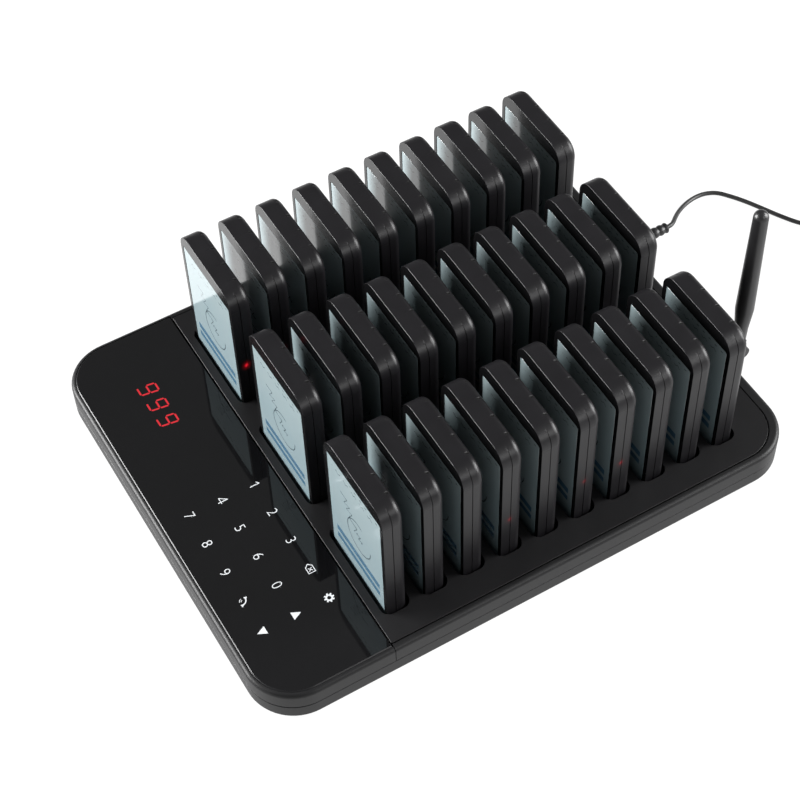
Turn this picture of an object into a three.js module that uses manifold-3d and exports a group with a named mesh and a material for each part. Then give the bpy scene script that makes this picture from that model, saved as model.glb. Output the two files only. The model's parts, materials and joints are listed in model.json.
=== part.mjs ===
// Restaurant paging set: a flat charging base with a touch panel, thirty coaster pagers that stand
// in its slots, a folding aerial and a mains adapter on a lead. Millimetres, +Z up, +Y to the rear.
// The origin is on the table, under the middle of the set (its lead is not counted).
import * as THREE from "three";
import { mergeVertices } from "three/addons/utils/BufferGeometryUtils.js";
import Module from "manifold-3d";

// ---------------------------------------------------------------- driving dimensions
const GAP = 0.3; // between two pieces that touch

// pager
const PAGER_WIDTH = 52;
const PAGER_HEIGHT = 88.5;
const PAGER_THICKNESS = 10.8;
const PAGER_CORNER = 9;
const PAGER_FRONT_EDGE = 0.5; // bevel round the flat front
const PAGER_REAR_EDGE = 3.4; // rounding round the back
const PAGER_WALL = 1.5;
const PAGER_SEAM = 4.5; // front face to the joint between the two shells
const LABEL_WIDTH = 46.5;
const LABEL_TOP = 8.5; // pager's top to the label's top
const LABEL_BOTTOM = 5;
const LABEL_THICKNESS = 0.6;
const LABEL_RECESS = 0.9;
const LABEL_CORNER = 1;
const BOARD_MARGIN = 1.2; // shell's inner wall to the circuit board's edge
const BOARD_THICKNESS = 1;
const BOARD_FRONT = 3.4; // front face to the circuit board
const BATTERY = { width: 30, height: 34, thickness: 3.6, rise: 12 };
const MOTOR = { radius: 1.9, length: 9, rise: 62, side: -9 };
const WEIGHT = { radius: 1.8, length: 3.4, shaft: 0.5 };
const BUZZER = { radius: 6, thickness: 3.4, rise: 58, side: 11 };
const LIGHT = { radius: 1.1, length: 2, rise: 39.5 };

// rows of pagers in the base
const ROWS = ["a", "b", "c"];
const PAGERS_PER_ROW = 10;
const PAGER_SPACE = 9.2; // between one pager and the next behind it
const ROW_SPACE = 17.9; // between one row and the next
const SLOT_SIDE_PLAY = 1.3;
const SLOT_FACE_PLAY = 1.8;
const SLOT_CORNER = 4.5;
const WELL_WALL = 1.4;

// charging base
const FOOT_HEIGHT = 2;
const FOOT_RADIUS = 7;
const FOOT_INSET = 24;
const FOOT_RECESS = 1;
const BASE_HEIGHT = 19; // lower shell's underside to the deck's top
const LOWER_HEIGHT = 9; // lower shell's share of the side
const BASE_CORNER = 24;
const BASE_EDGE = 2.2; // rounding of the base's top and bottom edges
const BASE_WALL = 2.2;
const BASE_FLOOR = 2;
const SIDE_MARGIN = 18.1; // outermost pager to the base's side
const REAR_MARGIN = 26.2; // last pager to the base's rear
const PANEL_DEPTH = 62.7; // base's front to the joint between the panel and the deck
const DECK_FRONT_MARGIN = 6.3; // that joint to the first pager's face
const DECK_RIM_SIDE = 4;
const DECK_RIM_REAR = 6;
const DECK_THICKNESS = 1.8;
const DECK_CORNER = 20;
const DECK_LEDGE = 3; // how far the deck's seat reaches in
const DECK_LEDGE_HEIGHT = 2;
const GLASS_RIM = 2.4;
const GLASS_THICKNESS = 1.6;
const SHELF_THICKNESS = 1.9;
const DISPLAY = { width: 36, depth: 15, x: -64.4, fromFront: 32.5 };
const PANEL_BOARD_THICKNESS = 1.6;
const PANEL_BOARD_INSET = 12;
const CHARGER_THICKNESS = 1.6;
const CHARGER_MARGIN = 3;
const CONTACT = { width: 16, depth: 4, height: 1.1 };
const POST_RADIUS = 3.4;
const SCREW_HEAD_RADIUS = 2.6;
const SCREW_HEAD_DEPTH = 1.2;

// sockets in the rear wall
const PORT_HEIGHT = 11.15; // above the table
const JACK = { x: -37.4, width: 9.5, depth: 11, height: 9, nose: 4.2, bore: 3.1, boreDepth: 10.5 };
const PLUG = { barrel: 2.75, barrelLength: 9.5, body: 4.4, bodyLength: 14 };
const PLUG_RELIEF = { root: 3.1, tip: 2.8, length: 14.9 };
const AERIAL_X = 48;
const SOCKET = { radius: 3.2, nut: 4.9, nutThickness: 2.5, flangeThickness: 1.6, length: 4.4 };
const KNUCKLE = { radius: 4.5, cheek: 4.1, tongue: 3.6, pin: 1, pinPlay: 0.3 };
const AERIAL = { reach: 13, length: 100, root: 3.5, swell: 4.7, tip: 3.75, start: 5.2 };

// lead and mains adapter
const CORD_RADIUS = 1.2;
const CORD_SIDES = 8;
const COIL = { x: 17.3, y: 254.5, turnRadius: 13.7, layers: 4, turns: 3, pitch: 2.45 };
const ADAPTER = { width: 62, depth: 42, height: 27, x: 80, y: 276, corner: 5, edge: 2 };
const ADAPTER_RELIEF = { root: 3.4, tip: 1.8, length: 12 };
const PLUG_HEAD = { thickness: 4, width: 30, height: 20, blade: 6.3, bladeThickness: 1.5 };
const BLADE_LENGTH = 17;
const BLADE_SPACING = 12.7;

// ---------------------------------------------------------------- sizes that follow from those
const PAGER_PITCH = PAGER_THICKNESS + PAGER_SPACE;
const ROW_PITCH = PAGER_WIDTH + ROW_SPACE;
const ROW_DEPTH = (PAGERS_PER_ROW - 1) * PAGER_PITCH + PAGER_THICKNESS;
const SLOT_LENGTH = PAGER_WIDTH + 2 * SLOT_SIDE_PLAY;
const SLOT_DEPTH = PAGER_THICKNESS + 2 * SLOT_FACE_PLAY;
const BASE_WIDTH = ROWS.length * PAGER_WIDTH + (ROWS.length - 1) * ROW_SPACE + 2 * SIDE_MARGIN;
const BASE_DEPTH = PANEL_DEPTH + DECK_FRONT_MARGIN + ROW_DEPTH + REAR_MARGIN;
const SET_DEPTH = BASE_DEPTH + AERIAL.reach + KNUCKLE.radius;
const FRONT = -SET_DEPTH / 2;
const REAR = FRONT + BASE_DEPTH;
const BASE_MIDDLE = (FRONT + REAR) / 2;
const SEAM = FRONT + PANEL_DEPTH;
const FIRST_FACE = SEAM + DECK_FRONT_MARGIN;
const FLOOR_TOP = FOOT_HEIGHT + BASE_FLOOR;
const PARTING = FOOT_HEIGHT + LOWER_HEIGHT;
const TOP = FOOT_HEIGHT + BASE_HEIGHT;
const SHELF_TOP = TOP - GLASS_THICKNESS - GAP;
const SHELF_BOTTOM = SHELF_TOP - SHELF_THICKNESS;
const DECK_BOTTOM = TOP - DECK_THICKNESS;
const CHARGER_BOTTOM = FLOOR_TOP + 2 * GAP;
const CHARGER_TOP = CHARGER_BOTTOM + CHARGER_THICKNESS;
const WELL_BOTTOM = CHARGER_TOP + GAP;
const PAGER_BOTTOM = CHARGER_TOP + CONTACT.height + GAP;
const PANEL_BOARD_BOTTOM = PARTING + GAP;
const PANEL_BOARD_TOP = PANEL_BOARD_BOTTOM + PANEL_BOARD_THICKNESS;
const AERIAL_Y = REAR + AERIAL.reach;

// Where the lead lies, from the plug's end to the coil and from the coil to the adapter.
const LEAD_POINTS = [
  [-37.4, 164.5, 11.15],
  [-37.9, 167.4, 10.9],
  [-39.8, 170.4, 9.9],
  [-43.2, 174.2, 7.9],
  [-47, 179, 5.6],
  [-50.6, 184.8, 3.5],
  [-53.1, 190.8, 2.1],
  [-54.2, 196.4, 1.4],
  [-53.7, 201.9, 1.25],
  [-50.9, 207.5, 1.25],
  [-44.8, 212.5, 1.25],
  [-37.9, 216.9, 1.25],
  [-30.4, 220.9, 1.25],
  [-20, 226.2, 1.25],
  [-10.6, 231.9, 1.25],
  [-4.4, 237.8, 1.25],
  [-1.2, 244, 1.25],
  [-0.3, 249.4, 1.25],
  [-0.1, 254.5, 1.25],
];
const TAIL_POINTS = [
  [17.3, 271.9, 8.6],
  [21.3, 272, 8.7],
  [25.5, 272.8, 9.6],
  [29.4, 274.4, 11.5],
  [33, 275.7, 13.1],
  [36.4, 276, 13.5],
];

// ---------------------------------------------------------------- solids
const wasm = await Module();
wasm.setup();

// A three.js geometry as a solid that can be joined and cut.
function solid(geometry) {
  const bare = geometry.index ? geometry.toNonIndexed() : geometry.clone();
  bare.deleteAttribute("normal");
  bare.deleteAttribute("uv");
  const merged = mergeVertices(bare, 1e-4);
  return new wasm.Manifold(
    new wasm.Mesh({
      numProp: 3,
      vertProperties: merged.attributes.position.array,
      triVerts: new Uint32Array(merged.index.array),
    }),
  );
}

function geometryOf(shape) {
  const { numProp, numVert, vertProperties, triVerts } = shape.getMesh();
  const points = new Float32Array(numVert * 3);
  for (let i = 0; i < numVert; i++) {
    points.set(vertProperties.subarray(i * numProp, i * numProp + 3), i * 3);
  }
  const geometry = new THREE.BufferGeometry();
  geometry.setAttribute("position", new THREE.BufferAttribute(points, 3));
  geometry.setIndex(new THREE.BufferAttribute(triVerts, 1));
  return geometry;
}

const join = (first, ...others) => others.reduce((whole, piece) => whole.add(piece), first);
const cut = (first, ...others) => others.reduce((whole, piece) => whole.subtract(piece), first);

// A box between two corners.
function block([x0, y0, z0], [x1, y1, z1]) {
  const box = new THREE.BoxGeometry(x1 - x0, y1 - y0, z1 - z0);
  return solid(box.translate((x0 + x1) / 2, (y0 + y1) / 2, (z0 + z1) / 2));
}

function roundedOutline(width, depth, corner) {
  const x = width / 2;
  const y = depth / 2;
  const r = Math.min(corner, x - 0.01, y - 0.01);
  const outline = new THREE.Shape();
  outline.moveTo(x - r, -y);
  outline.absarc(x - r, -y + r, r, -Math.PI / 2, 0);
  outline.absarc(x - r, y - r, r, 0, Math.PI / 2);
  outline.absarc(-x + r, y - r, r, Math.PI / 2, Math.PI);
  outline.absarc(-x + r, -y + r, r, Math.PI, 1.5 * Math.PI);
  outline.closePath();
  return outline;
}

// A flat piece with round corners, lying between two heights. edge rounds its rims over.
function slab({ width, depth, corner, bottom, top, x = 0, y = 0, edge = 0, steps = 2, arc = 3 }) {
  const settings = { depth: top - bottom - 2 * edge, curveSegments: arc, bevelEnabled: edge > 0 };
  if (edge > 0) {
    settings.bevelThickness = edge;
    settings.bevelSize = edge;
    settings.bevelOffset = -edge;
    settings.bevelSegments = steps;
  }
  const geometry = new THREE.ExtrudeGeometry(roundedOutline(width, depth, corner), settings);
  return solid(geometry.translate(x, y, bottom + edge));
}

// A round bar between two points of one axis: "x", "y" or "z".
function bar(axis, radius, [x, y, z], length, sides = 16) {
  const cylinder = new THREE.CylinderGeometry(radius, radius, length, sides);
  if (axis === "x") cylinder.rotateZ(-Math.PI / 2).translate(length / 2, 0, 0);
  if (axis === "y") cylinder.translate(0, length / 2, 0);
  if (axis === "z") cylinder.rotateX(Math.PI / 2).translate(0, 0, length / 2);
  return solid(cylinder.translate(x, y, z));
}

// ---------------------------------------------------------------- materials
const material = (color, roughness, metalness = 0) =>
  new THREE.MeshStandardMaterial({ color, roughness, metalness });
const satinBlack = () => material(0x1b1b1c, 0.5);
const matteBlack = () => material(0x121213, 0.7);
const pianoGlass = () => material(0x050506, 0.06);
const printedLabel = () => material(0xc6dde2, 0.2);
const greenBoard = () => material(0x1d4a2c, 0.5);
const nickel = () => material(0xb9b4a8, 0.3, 1);
const rubber = () => material(0x161616, 0.9);

const set = new THREE.Group();

function add(name, shape, finish) {
  const geometry = shape.isBufferGeometry ? shape : geometryOf(shape);
  const mesh = new THREE.Mesh(geometry, finish);
  mesh.name = name;
  set.add(mesh);
  return mesh;
}

// ---------------------------------------------------------------- base: shells
// Places of the screw posts, in the two lanes between the rows.
const POSTS = [-1, 1].flatMap((side) =>
  [0.12, 0.5, 0.9].map((share) => [(side * ROW_PITCH) / 2, FIRST_FACE + share * ROW_DEPTH]),
);
const BOARD_POSTS = [-1, 1].flatMap((side) =>
  [FRONT + PANEL_BOARD_INSET + 6, SEAM - PANEL_BOARD_INSET].map((y) => [
    side * (BASE_WIDTH / 2 - PANEL_BOARD_INSET - 10),
    y,
  ]),
);

// The base's outline, drawn in by inset, between two heights.
function baseBlock(bottom, top, inset = 0, edge = 0) {
  return slab({
    width: BASE_WIDTH - 2 * inset,
    depth: BASE_DEPTH - 2 * inset,
    corner: BASE_CORNER - inset,
    bottom,
    top,
    y: BASE_MIDDLE,
    edge,
    arc: 4,
  });
}

// Everything between two depths, wider and taller than the base.
const lane = (y0, y1, z0 = -10, z1 = TOP + 10) => block([-BASE_WIDTH, y0, z0], [BASE_WIDTH, y1, z1]);

function portHoles() {
  const start = REAR - BASE_WALL - 1;
  const length = BASE_WALL + 2;
  return [
    bar("y", JACK.nose + GAP, [JACK.x, start, PORT_HEIGHT], length),
    bar("y", SOCKET.radius + GAP, [AERIAL_X, start, PORT_HEIGHT], length),
  ];
}

const footPlaces = [-1, 1].flatMap((side) =>
  [FRONT + FOOT_INSET, REAR - FOOT_INSET].map((y) => [side * (BASE_WIDTH / 2 - FOOT_INSET), y]),
);

function lowerShell() {
  const outside = baseBlock(FOOT_HEIGHT, PARTING + 10, 0, BASE_EDGE);
  const inside = baseBlock(FLOOR_TOP, PARTING + 20, BASE_WALL);
  const above = block([-BASE_WIDTH, FRONT - 10, PARTING], [BASE_WIDTH, REAR + 10, PARTING + 30]);
  const tray = cut(outside, inside, above);
  const posts = POSTS.map(([x, y]) =>
    bar("z", POST_RADIUS, [x, y, FLOOR_TOP - 1], DECK_BOTTOM - GAP - FLOOR_TOP + 1),
  );
  const boardPosts = BOARD_POSTS.map(([x, y]) =>
    bar("z", POST_RADIUS, [x, y, FLOOR_TOP - 1], PANEL_BOARD_BOTTOM - GAP - FLOOR_TOP + 1, 10),
  );
  const recesses = footPlaces.map(([x, y]) =>
    bar("z", FOOT_RADIUS + GAP, [x, y, FOOT_HEIGHT - 1], FOOT_RECESS + 1, 20),
  );
  const screwHoles = POSTS.map(([x, y]) =>
    bar("z", SCREW_HEAD_RADIUS, [x, y, FOOT_HEIGHT - 1], SCREW_HEAD_DEPTH + 1, 12),
  );
  return cut(join(tray, ...posts, ...boardPosts), ...recesses, ...screwHoles, ...portHoles());
}

// The upper half of the base, before it is divided at the seam.
function upperBlock() {
  const outside = baseBlock(PARTING - 10, TOP, 0, BASE_EDGE);
  return cut(outside, lane(FRONT - 10, REAR + 10, PARTING - 30, PARTING + GAP));
}

function glassOutline(bottom, top, inset, rear) {
  return cut(baseBlock(bottom, top, inset), lane(rear, REAR + 10));
}

function displayWindow(bottom, top, play) {
  const y = FRONT + DISPLAY.fromFront;
  return block(
    [DISPLAY.x - DISPLAY.width / 2 - play, y - DISPLAY.depth / 2 - play, bottom],
    [DISPLAY.x + DISPLAY.width / 2 + play, y + DISPLAY.depth / 2 + play, top],
  );
}

function panelHousing() {
  const whole = cut(upperBlock(), lane(SEAM, REAR + 10));
  const recess = glassOutline(SHELF_TOP, TOP + 5, GLASS_RIM - GAP, REAR);
  const inside = cut(baseBlock(PARTING - 5, SHELF_BOTTOM, BASE_WALL), lane(SEAM - BASE_WALL, REAR + 10));
  return cut(whole, recess, inside, displayWindow(SHELF_BOTTOM - 1, SHELF_TOP + 1, GAP));
}

function deckOutline(bottom, top, grow) {
  const width = BASE_WIDTH - 2 * DECK_RIM_SIDE + 2 * grow;
  const depth = BASE_DEPTH - DECK_RIM_SIDE - DECK_RIM_REAR + 2 * grow;
  const y = BASE_MIDDLE + (DECK_RIM_SIDE - DECK_RIM_REAR) / 2;
  const whole = slab({ width, depth, corner: DECK_CORNER + grow, bottom, top, y, arc: 4 });
  return cut(whole, lane(FRONT - 10, SEAM + GAP));
}

// Room for the jack's body and the aerial's nut, where they stand beside the deck's seat.
function portRooms() {
  const wall = REAR - BASE_WALL;
  const jack = block(
    [JACK.x - JACK.width / 2 - GAP, wall - JACK.depth - 2 * GAP, PORT_HEIGHT - JACK.height / 2 - GAP],
    [JACK.x + JACK.width / 2 + GAP, wall, PORT_HEIGHT + JACK.height / 2 + GAP],
  );
  const nutLength = SOCKET.nutThickness + 2 * GAP;
  return [jack, bar("y", SOCKET.nut + GAP, [AERIAL_X, wall - nutLength, PORT_HEIGHT], nutLength, 6)];
}

function deckHousing() {
  const whole = cut(upperBlock(), lane(FRONT - 10, SEAM + GAP));
  const seat = deckOutline(DECK_BOTTOM - GAP, TOP + 5, GAP);
  const inside = cut(
    baseBlock(PARTING - 5, DECK_BOTTOM - GAP - DECK_LEDGE_HEIGHT, BASE_WALL),
    lane(FRONT - 10, SEAM + GAP + BASE_WALL),
  );
  const middle = cut(
    deckOutline(PARTING - 5, TOP + 5, -DECK_LEDGE),
    lane(FRONT - 10, SEAM + GAP + BASE_WALL),
  );
  return cut(whole, seat, inside, middle, ...portHoles(), ...portRooms());
}

// ---------------------------------------------------------------- base: deck and slots
const rowX = (row) => (row - (ROWS.length - 1) / 2) * ROW_PITCH;
const faceY = (place) => FIRST_FACE + place * PAGER_PITCH;

function slotDeck() {
  const plate = deckOutline(DECK_BOTTOM, TOP, 0);
  const wells = ROWS.map((_, row) =>
    slab({
      width: SLOT_LENGTH + 2 * WELL_WALL,
      depth: ROW_DEPTH + 2 * SLOT_FACE_PLAY + 2 * WELL_WALL,
      corner: SLOT_CORNER + WELL_WALL,
      bottom: WELL_BOTTOM,
      top: DECK_BOTTOM + 0.5,
      x: rowX(row),
      y: FIRST_FACE + ROW_DEPTH / 2,
      arc: 1,
    }),
  );
  const slots = ROWS.flatMap((_, row) =>
    Array.from({ length: PAGERS_PER_ROW }, (_, place) =>
      slab({
        width: SLOT_LENGTH,
        depth: SLOT_DEPTH,
        corner: SLOT_CORNER,
        bottom: WELL_BOTTOM - 5,
        top: TOP + 5,
        x: rowX(row),
        y: faceY(place) + PAGER_THICKNESS / 2,
        arc: 2,
      }),
    ),
  );
  return cut(join(plate, ...wells), ...slots);
}

// One board under the wells, with a pair of charging springs under each slot.
function chargingBoard() {
  const board = block(
    [rowX(0) - SLOT_LENGTH / 2 - CHARGER_MARGIN, FIRST_FACE - SLOT_FACE_PLAY, CHARGER_BOTTOM],
    [
      rowX(ROWS.length - 1) + SLOT_LENGTH / 2 + CHARGER_MARGIN,
      FIRST_FACE + ROW_DEPTH + SLOT_FACE_PLAY,
      CHARGER_TOP,
    ],
  );
  const contacts = ROWS.flatMap((_, row) =>
    Array.from({ length: PAGERS_PER_ROW }, (_, place) => {
      const y = faceY(place) + PAGER_THICKNESS / 2;
      return block(
        [rowX(row) - CONTACT.width / 2, y - CONTACT.depth / 2, CHARGER_TOP - 0.5],
        [rowX(row) + CONTACT.width / 2, y + CONTACT.depth / 2, CHARGER_TOP + CONTACT.height],
      );
    }),
  );
  const holes = POSTS.map(([x, y]) => bar("z", POST_RADIUS + 2 * GAP, [x, y, CHARGER_BOTTOM - 1], 4));
  return cut(join(board, ...contacts), ...holes);
}

// ---------------------------------------------------------------- base: panel electronics
function mainBoard() {
  const side = BASE_WIDTH / 2 - PANEL_BOARD_INSET;
  return block(
    [-side, FRONT + PANEL_BOARD_INSET, PANEL_BOARD_BOTTOM],
    [side, SEAM - BASE_WALL - 2, PANEL_BOARD_TOP],
  );
}

function dcJack() {
  const wallInside = REAR - BASE_WALL - GAP;
  const body = block(
    [JACK.x - JACK.width / 2, wallInside - JACK.depth, PORT_HEIGHT - JACK.height / 2],
    [JACK.x + JACK.width / 2, wallInside, PORT_HEIGHT + JACK.height / 2],
  );
  const nose = bar("y", JACK.nose, [JACK.x, wallInside - 1, PORT_HEIGHT], BASE_WALL + GAP + 1);
  const bore = bar("y", JACK.bore, [JACK.x, REAR - JACK.boreDepth, PORT_HEIGHT], JACK.boreDepth + 1);
  return cut(join(body, nose), bore);
}

// ---------------------------------------------------------------- aerial
function antennaSocket() {
  const inside = REAR - BASE_WALL - GAP;
  const nutStart = [AERIAL_X, inside - SOCKET.nutThickness, PORT_HEIGHT];
  const nut = bar("y", SOCKET.nut, nutStart, SOCKET.nutThickness, 6);
  const reach = REAR + SOCKET.length - inside + 1;
  const barrel = bar("y", SOCKET.radius, [AERIAL_X, inside - 1, PORT_HEIGHT], reach);
  const flange = bar("y", SOCKET.nut, [AERIAL_X, REAR + GAP, PORT_HEIGHT], SOCKET.flangeThickness, 6);
  return join(nut, barrel, flange);
}

// Collar, two cheeks and the pin through them. The collar turns on the socket.
function antennaKnuckle() {
  const back = REAR + SOCKET.length + GAP;
  const collar = bar("y", KNUCKLE.radius, [AERIAL_X, back, PORT_HEIGHT], AERIAL_Y - back - 1, 20);
  const side = [AERIAL_X - KNUCKLE.radius, AERIAL_Y, PORT_HEIGHT];
  const cheeks = bar("x", KNUCKLE.cheek, side, 2 * KNUCKLE.radius, 16);
  const neck = block(
    [AERIAL_X - KNUCKLE.radius, AERIAL_Y - KNUCKLE.cheek - 0.5, PORT_HEIGHT - KNUCKLE.cheek],
    [AERIAL_X + KNUCKLE.radius, AERIAL_Y, PORT_HEIGHT + KNUCKLE.cheek],
  );
  const round = bar("y", KNUCKLE.radius, [AERIAL_X, back, PORT_HEIGHT], SET_DEPTH, 20);
  const half = KNUCKLE.tongue / 2 + GAP;
  const fork = block(
    [AERIAL_X - half, AERIAL_Y - KNUCKLE.cheek - GAP, PORT_HEIGHT - 10],
    [AERIAL_X + half, AERIAL_Y + 10, PORT_HEIGHT + 10],
  );
  const pin = bar("x", KNUCKLE.pin, [AERIAL_X - half - 1, AERIAL_Y, PORT_HEIGHT], 2 * half + 2, 12);
  return join(cut(join(collar, cheeks, neck).intersect(round), fork), pin);
}

function antennaRod() {
  const { root, swell, tip, length, start } = AERIAL;
  const dome = Array.from({ length: 5 }, (_, i) => {
    const angle = (i * Math.PI) / 8;
    return new THREE.Vector2(tip * Math.cos(angle), length - tip + tip * Math.sin(angle));
  });
  dome[dome.length - 1].x = 0;
  const profile = [
    new THREE.Vector2(0, start),
    new THREE.Vector2(root - 0.3, start),
    new THREE.Vector2(root, start + 12),
    new THREE.Vector2(swell, start + 26),
    ...dome,
  ];
  const stem = solid(new THREE.LatheGeometry(profile, 14).rotateX(Math.PI / 2));
  const width = KNUCKLE.tongue;
  const tongue = join(
    bar("x", root, [-width / 2, 0, 0], width, 14),
    block([-width / 2, -root, 0], [width / 2, root, start + 1]),
  );
  const hole = bar("x", KNUCKLE.pin + KNUCKLE.pinPlay, [-width, 0, 0], 2 * width, 12);
  return cut(join(stem, tongue), hole);
}

// ---------------------------------------------------------------- lead and adapter
function dcPlug() {
  const { barrel, barrelLength, body, bodyLength } = PLUG;
  const { root, tip, length } = PLUG_RELIEF;
  const end = 1 + bodyLength + length;
  const profile = [
    [0, -barrelLength],
    [barrel, -barrelLength],
    [barrel, 1],
    [body - 0.5, 1],
    [body, 2],
    [body, bodyLength - 2],
    [body - 1.2, 1 + bodyLength],
    [root, 1 + bodyLength],
    [tip, end],
    [0, end],
  ].map(([r, along]) => new THREE.Vector2(r, along));
  return new THREE.LatheGeometry(profile, 12).translate(JACK.x, REAR, PORT_HEIGHT);
}

// A round cord along points. Its section's corners reach the cord's radius.
function cordAlong(points, steps) {
  const places = points.map((point) => new THREE.Vector3(...point));
  const route = new THREE.CatmullRomCurve3(places, false, "centripetal");
  const section = new THREE.Shape();
  for (let i = 0; i < CORD_SIDES; i++) {
    const angle = ((i + 0.5) * 2 * Math.PI) / CORD_SIDES;
    const [x, y] = [CORD_RADIUS * Math.cos(angle), CORD_RADIUS * Math.sin(angle)];
    if (i === 0) section.moveTo(x, y);
    else section.lineTo(x, y);
  }
  section.closePath();
  return solid(new THREE.ExtrudeGeometry(section, { steps, extrudePath: route, bevelEnabled: false }));
}

// The ring that holds every turn of the coil, with room around it.
function coilRing(room) {
  const half = (COIL.turns * COIL.pitch) / 2 + CORD_RADIUS + room;
  const height = (COIL.layers - 1) * COIL.pitch + 2 * CORD_RADIUS + room;
  const [inner, outer] = [COIL.turnRadius - half, COIL.turnRadius + half];
  const profile = [
    [inner, -room],
    [outer, -room],
    [outer, height],
    [inner, height],
    [inner, -room],
  ].map(([r, up]) => new THREE.Vector2(r, up));
  const ring = new THREE.LatheGeometry(profile, 24).rotateX(Math.PI / 2);
  return solid(ring.translate(COIL.x, COIL.y, 0));
}

function powerAdapter() {
  const { width, depth, height, x, y, corner, edge } = ADAPTER;
  const { root, tip, length } = ADAPTER_RELIEF;
  const body = slab({ width, depth, corner, bottom: 0, top: height, x, y, edge, arc: 2 });
  const profile = [
    [0, -length],
    [tip, -length],
    [root, 1],
    [0, 1],
  ].map(([r, along]) => new THREE.Vector2(r, along));
  const relief = new THREE.LatheGeometry(profile, 12).rotateZ(-Math.PI / 2);
  return join(body, solid(relief.translate(x - width / 2, y, height / 2)));
}

function plugHead() {
  const start = ADAPTER.x + ADAPTER.width / 2 + GAP;
  const { thickness, width, height, blade, bladeThickness } = PLUG_HEAD;
  const middle = [ADAPTER.y, ADAPTER.height / 2];
  const plate = block(
    [start, middle[0] - width / 2, middle[1] - height / 2],
    [start + thickness, middle[0] + width / 2, middle[1] + height / 2],
  );
  const blades = [-1, 1].map((side) => {
    const y = middle[0] + (side * BLADE_SPACING) / 2;
    return block(
      [start + thickness - 1, y - bladeThickness / 2, middle[1] - blade / 2],
      [start + thickness + BLADE_LENGTH, y + bladeThickness / 2, middle[1] + blade / 2],
    );
  });
  return join(plate, ...blades);
}

// ---------------------------------------------------------------- pagers
// Stands a slab up: what lay in X and Y lies in X and Z, and its underside is the rear face.
const standUp = (flat, rear) => flat.transform([1, 0, 0, 0, 0, 0, 1, 0, 0, -1, 0, 0, 0, rear, 0, 1]);

// A pager's outline lies in X and Z and runs back along Y from its front face.
function pagerBlock({ inset = 0, front, rear, edge = 0, arc = 2, steps = 1 }) {
  const flat = slab({
    width: PAGER_WIDTH - 2 * inset,
    depth: PAGER_HEIGHT - 2 * inset,
    corner: PAGER_CORNER - inset,
    bottom: 0,
    top: rear - front,
    y: PAGER_HEIGHT / 2,
    edge,
    arc,
    steps,
  });
  return standUp(flat, rear);
}

const LABEL_HEIGHT = PAGER_HEIGHT - LABEL_TOP - LABEL_BOTTOM;

function labelBlock(front, rear, grow) {
  const flat = slab({
    width: LABEL_WIDTH + 2 * grow,
    depth: LABEL_HEIGHT + 2 * grow,
    corner: LABEL_CORNER + grow,
    bottom: 0,
    top: rear - front,
    y: LABEL_BOTTOM + LABEL_HEIGHT / 2,
    arc: 1,
  });
  return standUp(flat, rear);
}

function lightHole() {
  return bar("x", LIGHT.radius + GAP, [PAGER_WIDTH / 2 - 6, PAGER_SEAM, LIGHT.rise], 10, 12);
}

const betweenFaces = (y0, y1) => block([-PAGER_WIDTH, y0, -10], [PAGER_WIDTH, y1, PAGER_HEIGHT + 10]);

// The outer shape: a crisp bevel round the flat front, a soft rounding round the back.
function wholePager(arc = 2, steps = 2) {
  const bevelled = pagerBlock({
    front: 0,
    rear: PAGER_THICKNESS + PAGER_FRONT_EDGE,
    edge: PAGER_FRONT_EDGE,
    arc,
  });
  const rounded = pagerBlock({
    front: -PAGER_REAR_EDGE,
    rear: PAGER_THICKNESS,
    edge: PAGER_REAR_EDGE,
    arc,
    steps,
  });
  return bevelled.intersect(rounded);
}

function pagerFrontShell() {
  const outside = wholePager(3, 3);
  const back = betweenFaces(PAGER_SEAM, PAGER_THICKNESS + 10);
  const innerFace = LABEL_RECESS + PAGER_WALL - GAP;
  const inside = pagerBlock({ inset: PAGER_WALL, front: innerFace, rear: PAGER_THICKNESS, arc: 3 });
  return cut(outside, back, inside, labelBlock(-1, LABEL_RECESS, GAP), lightHole());
}

function pagerRearShell() {
  const outside = wholePager(3, 3);
  const front = betweenFaces(-10, PAGER_SEAM + GAP);
  const inside = pagerBlock({ inset: PAGER_WALL, front: -5, rear: PAGER_THICKNESS - PAGER_WALL, arc: 3 });
  return cut(outside, front, inside, lightHole());
}

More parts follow.
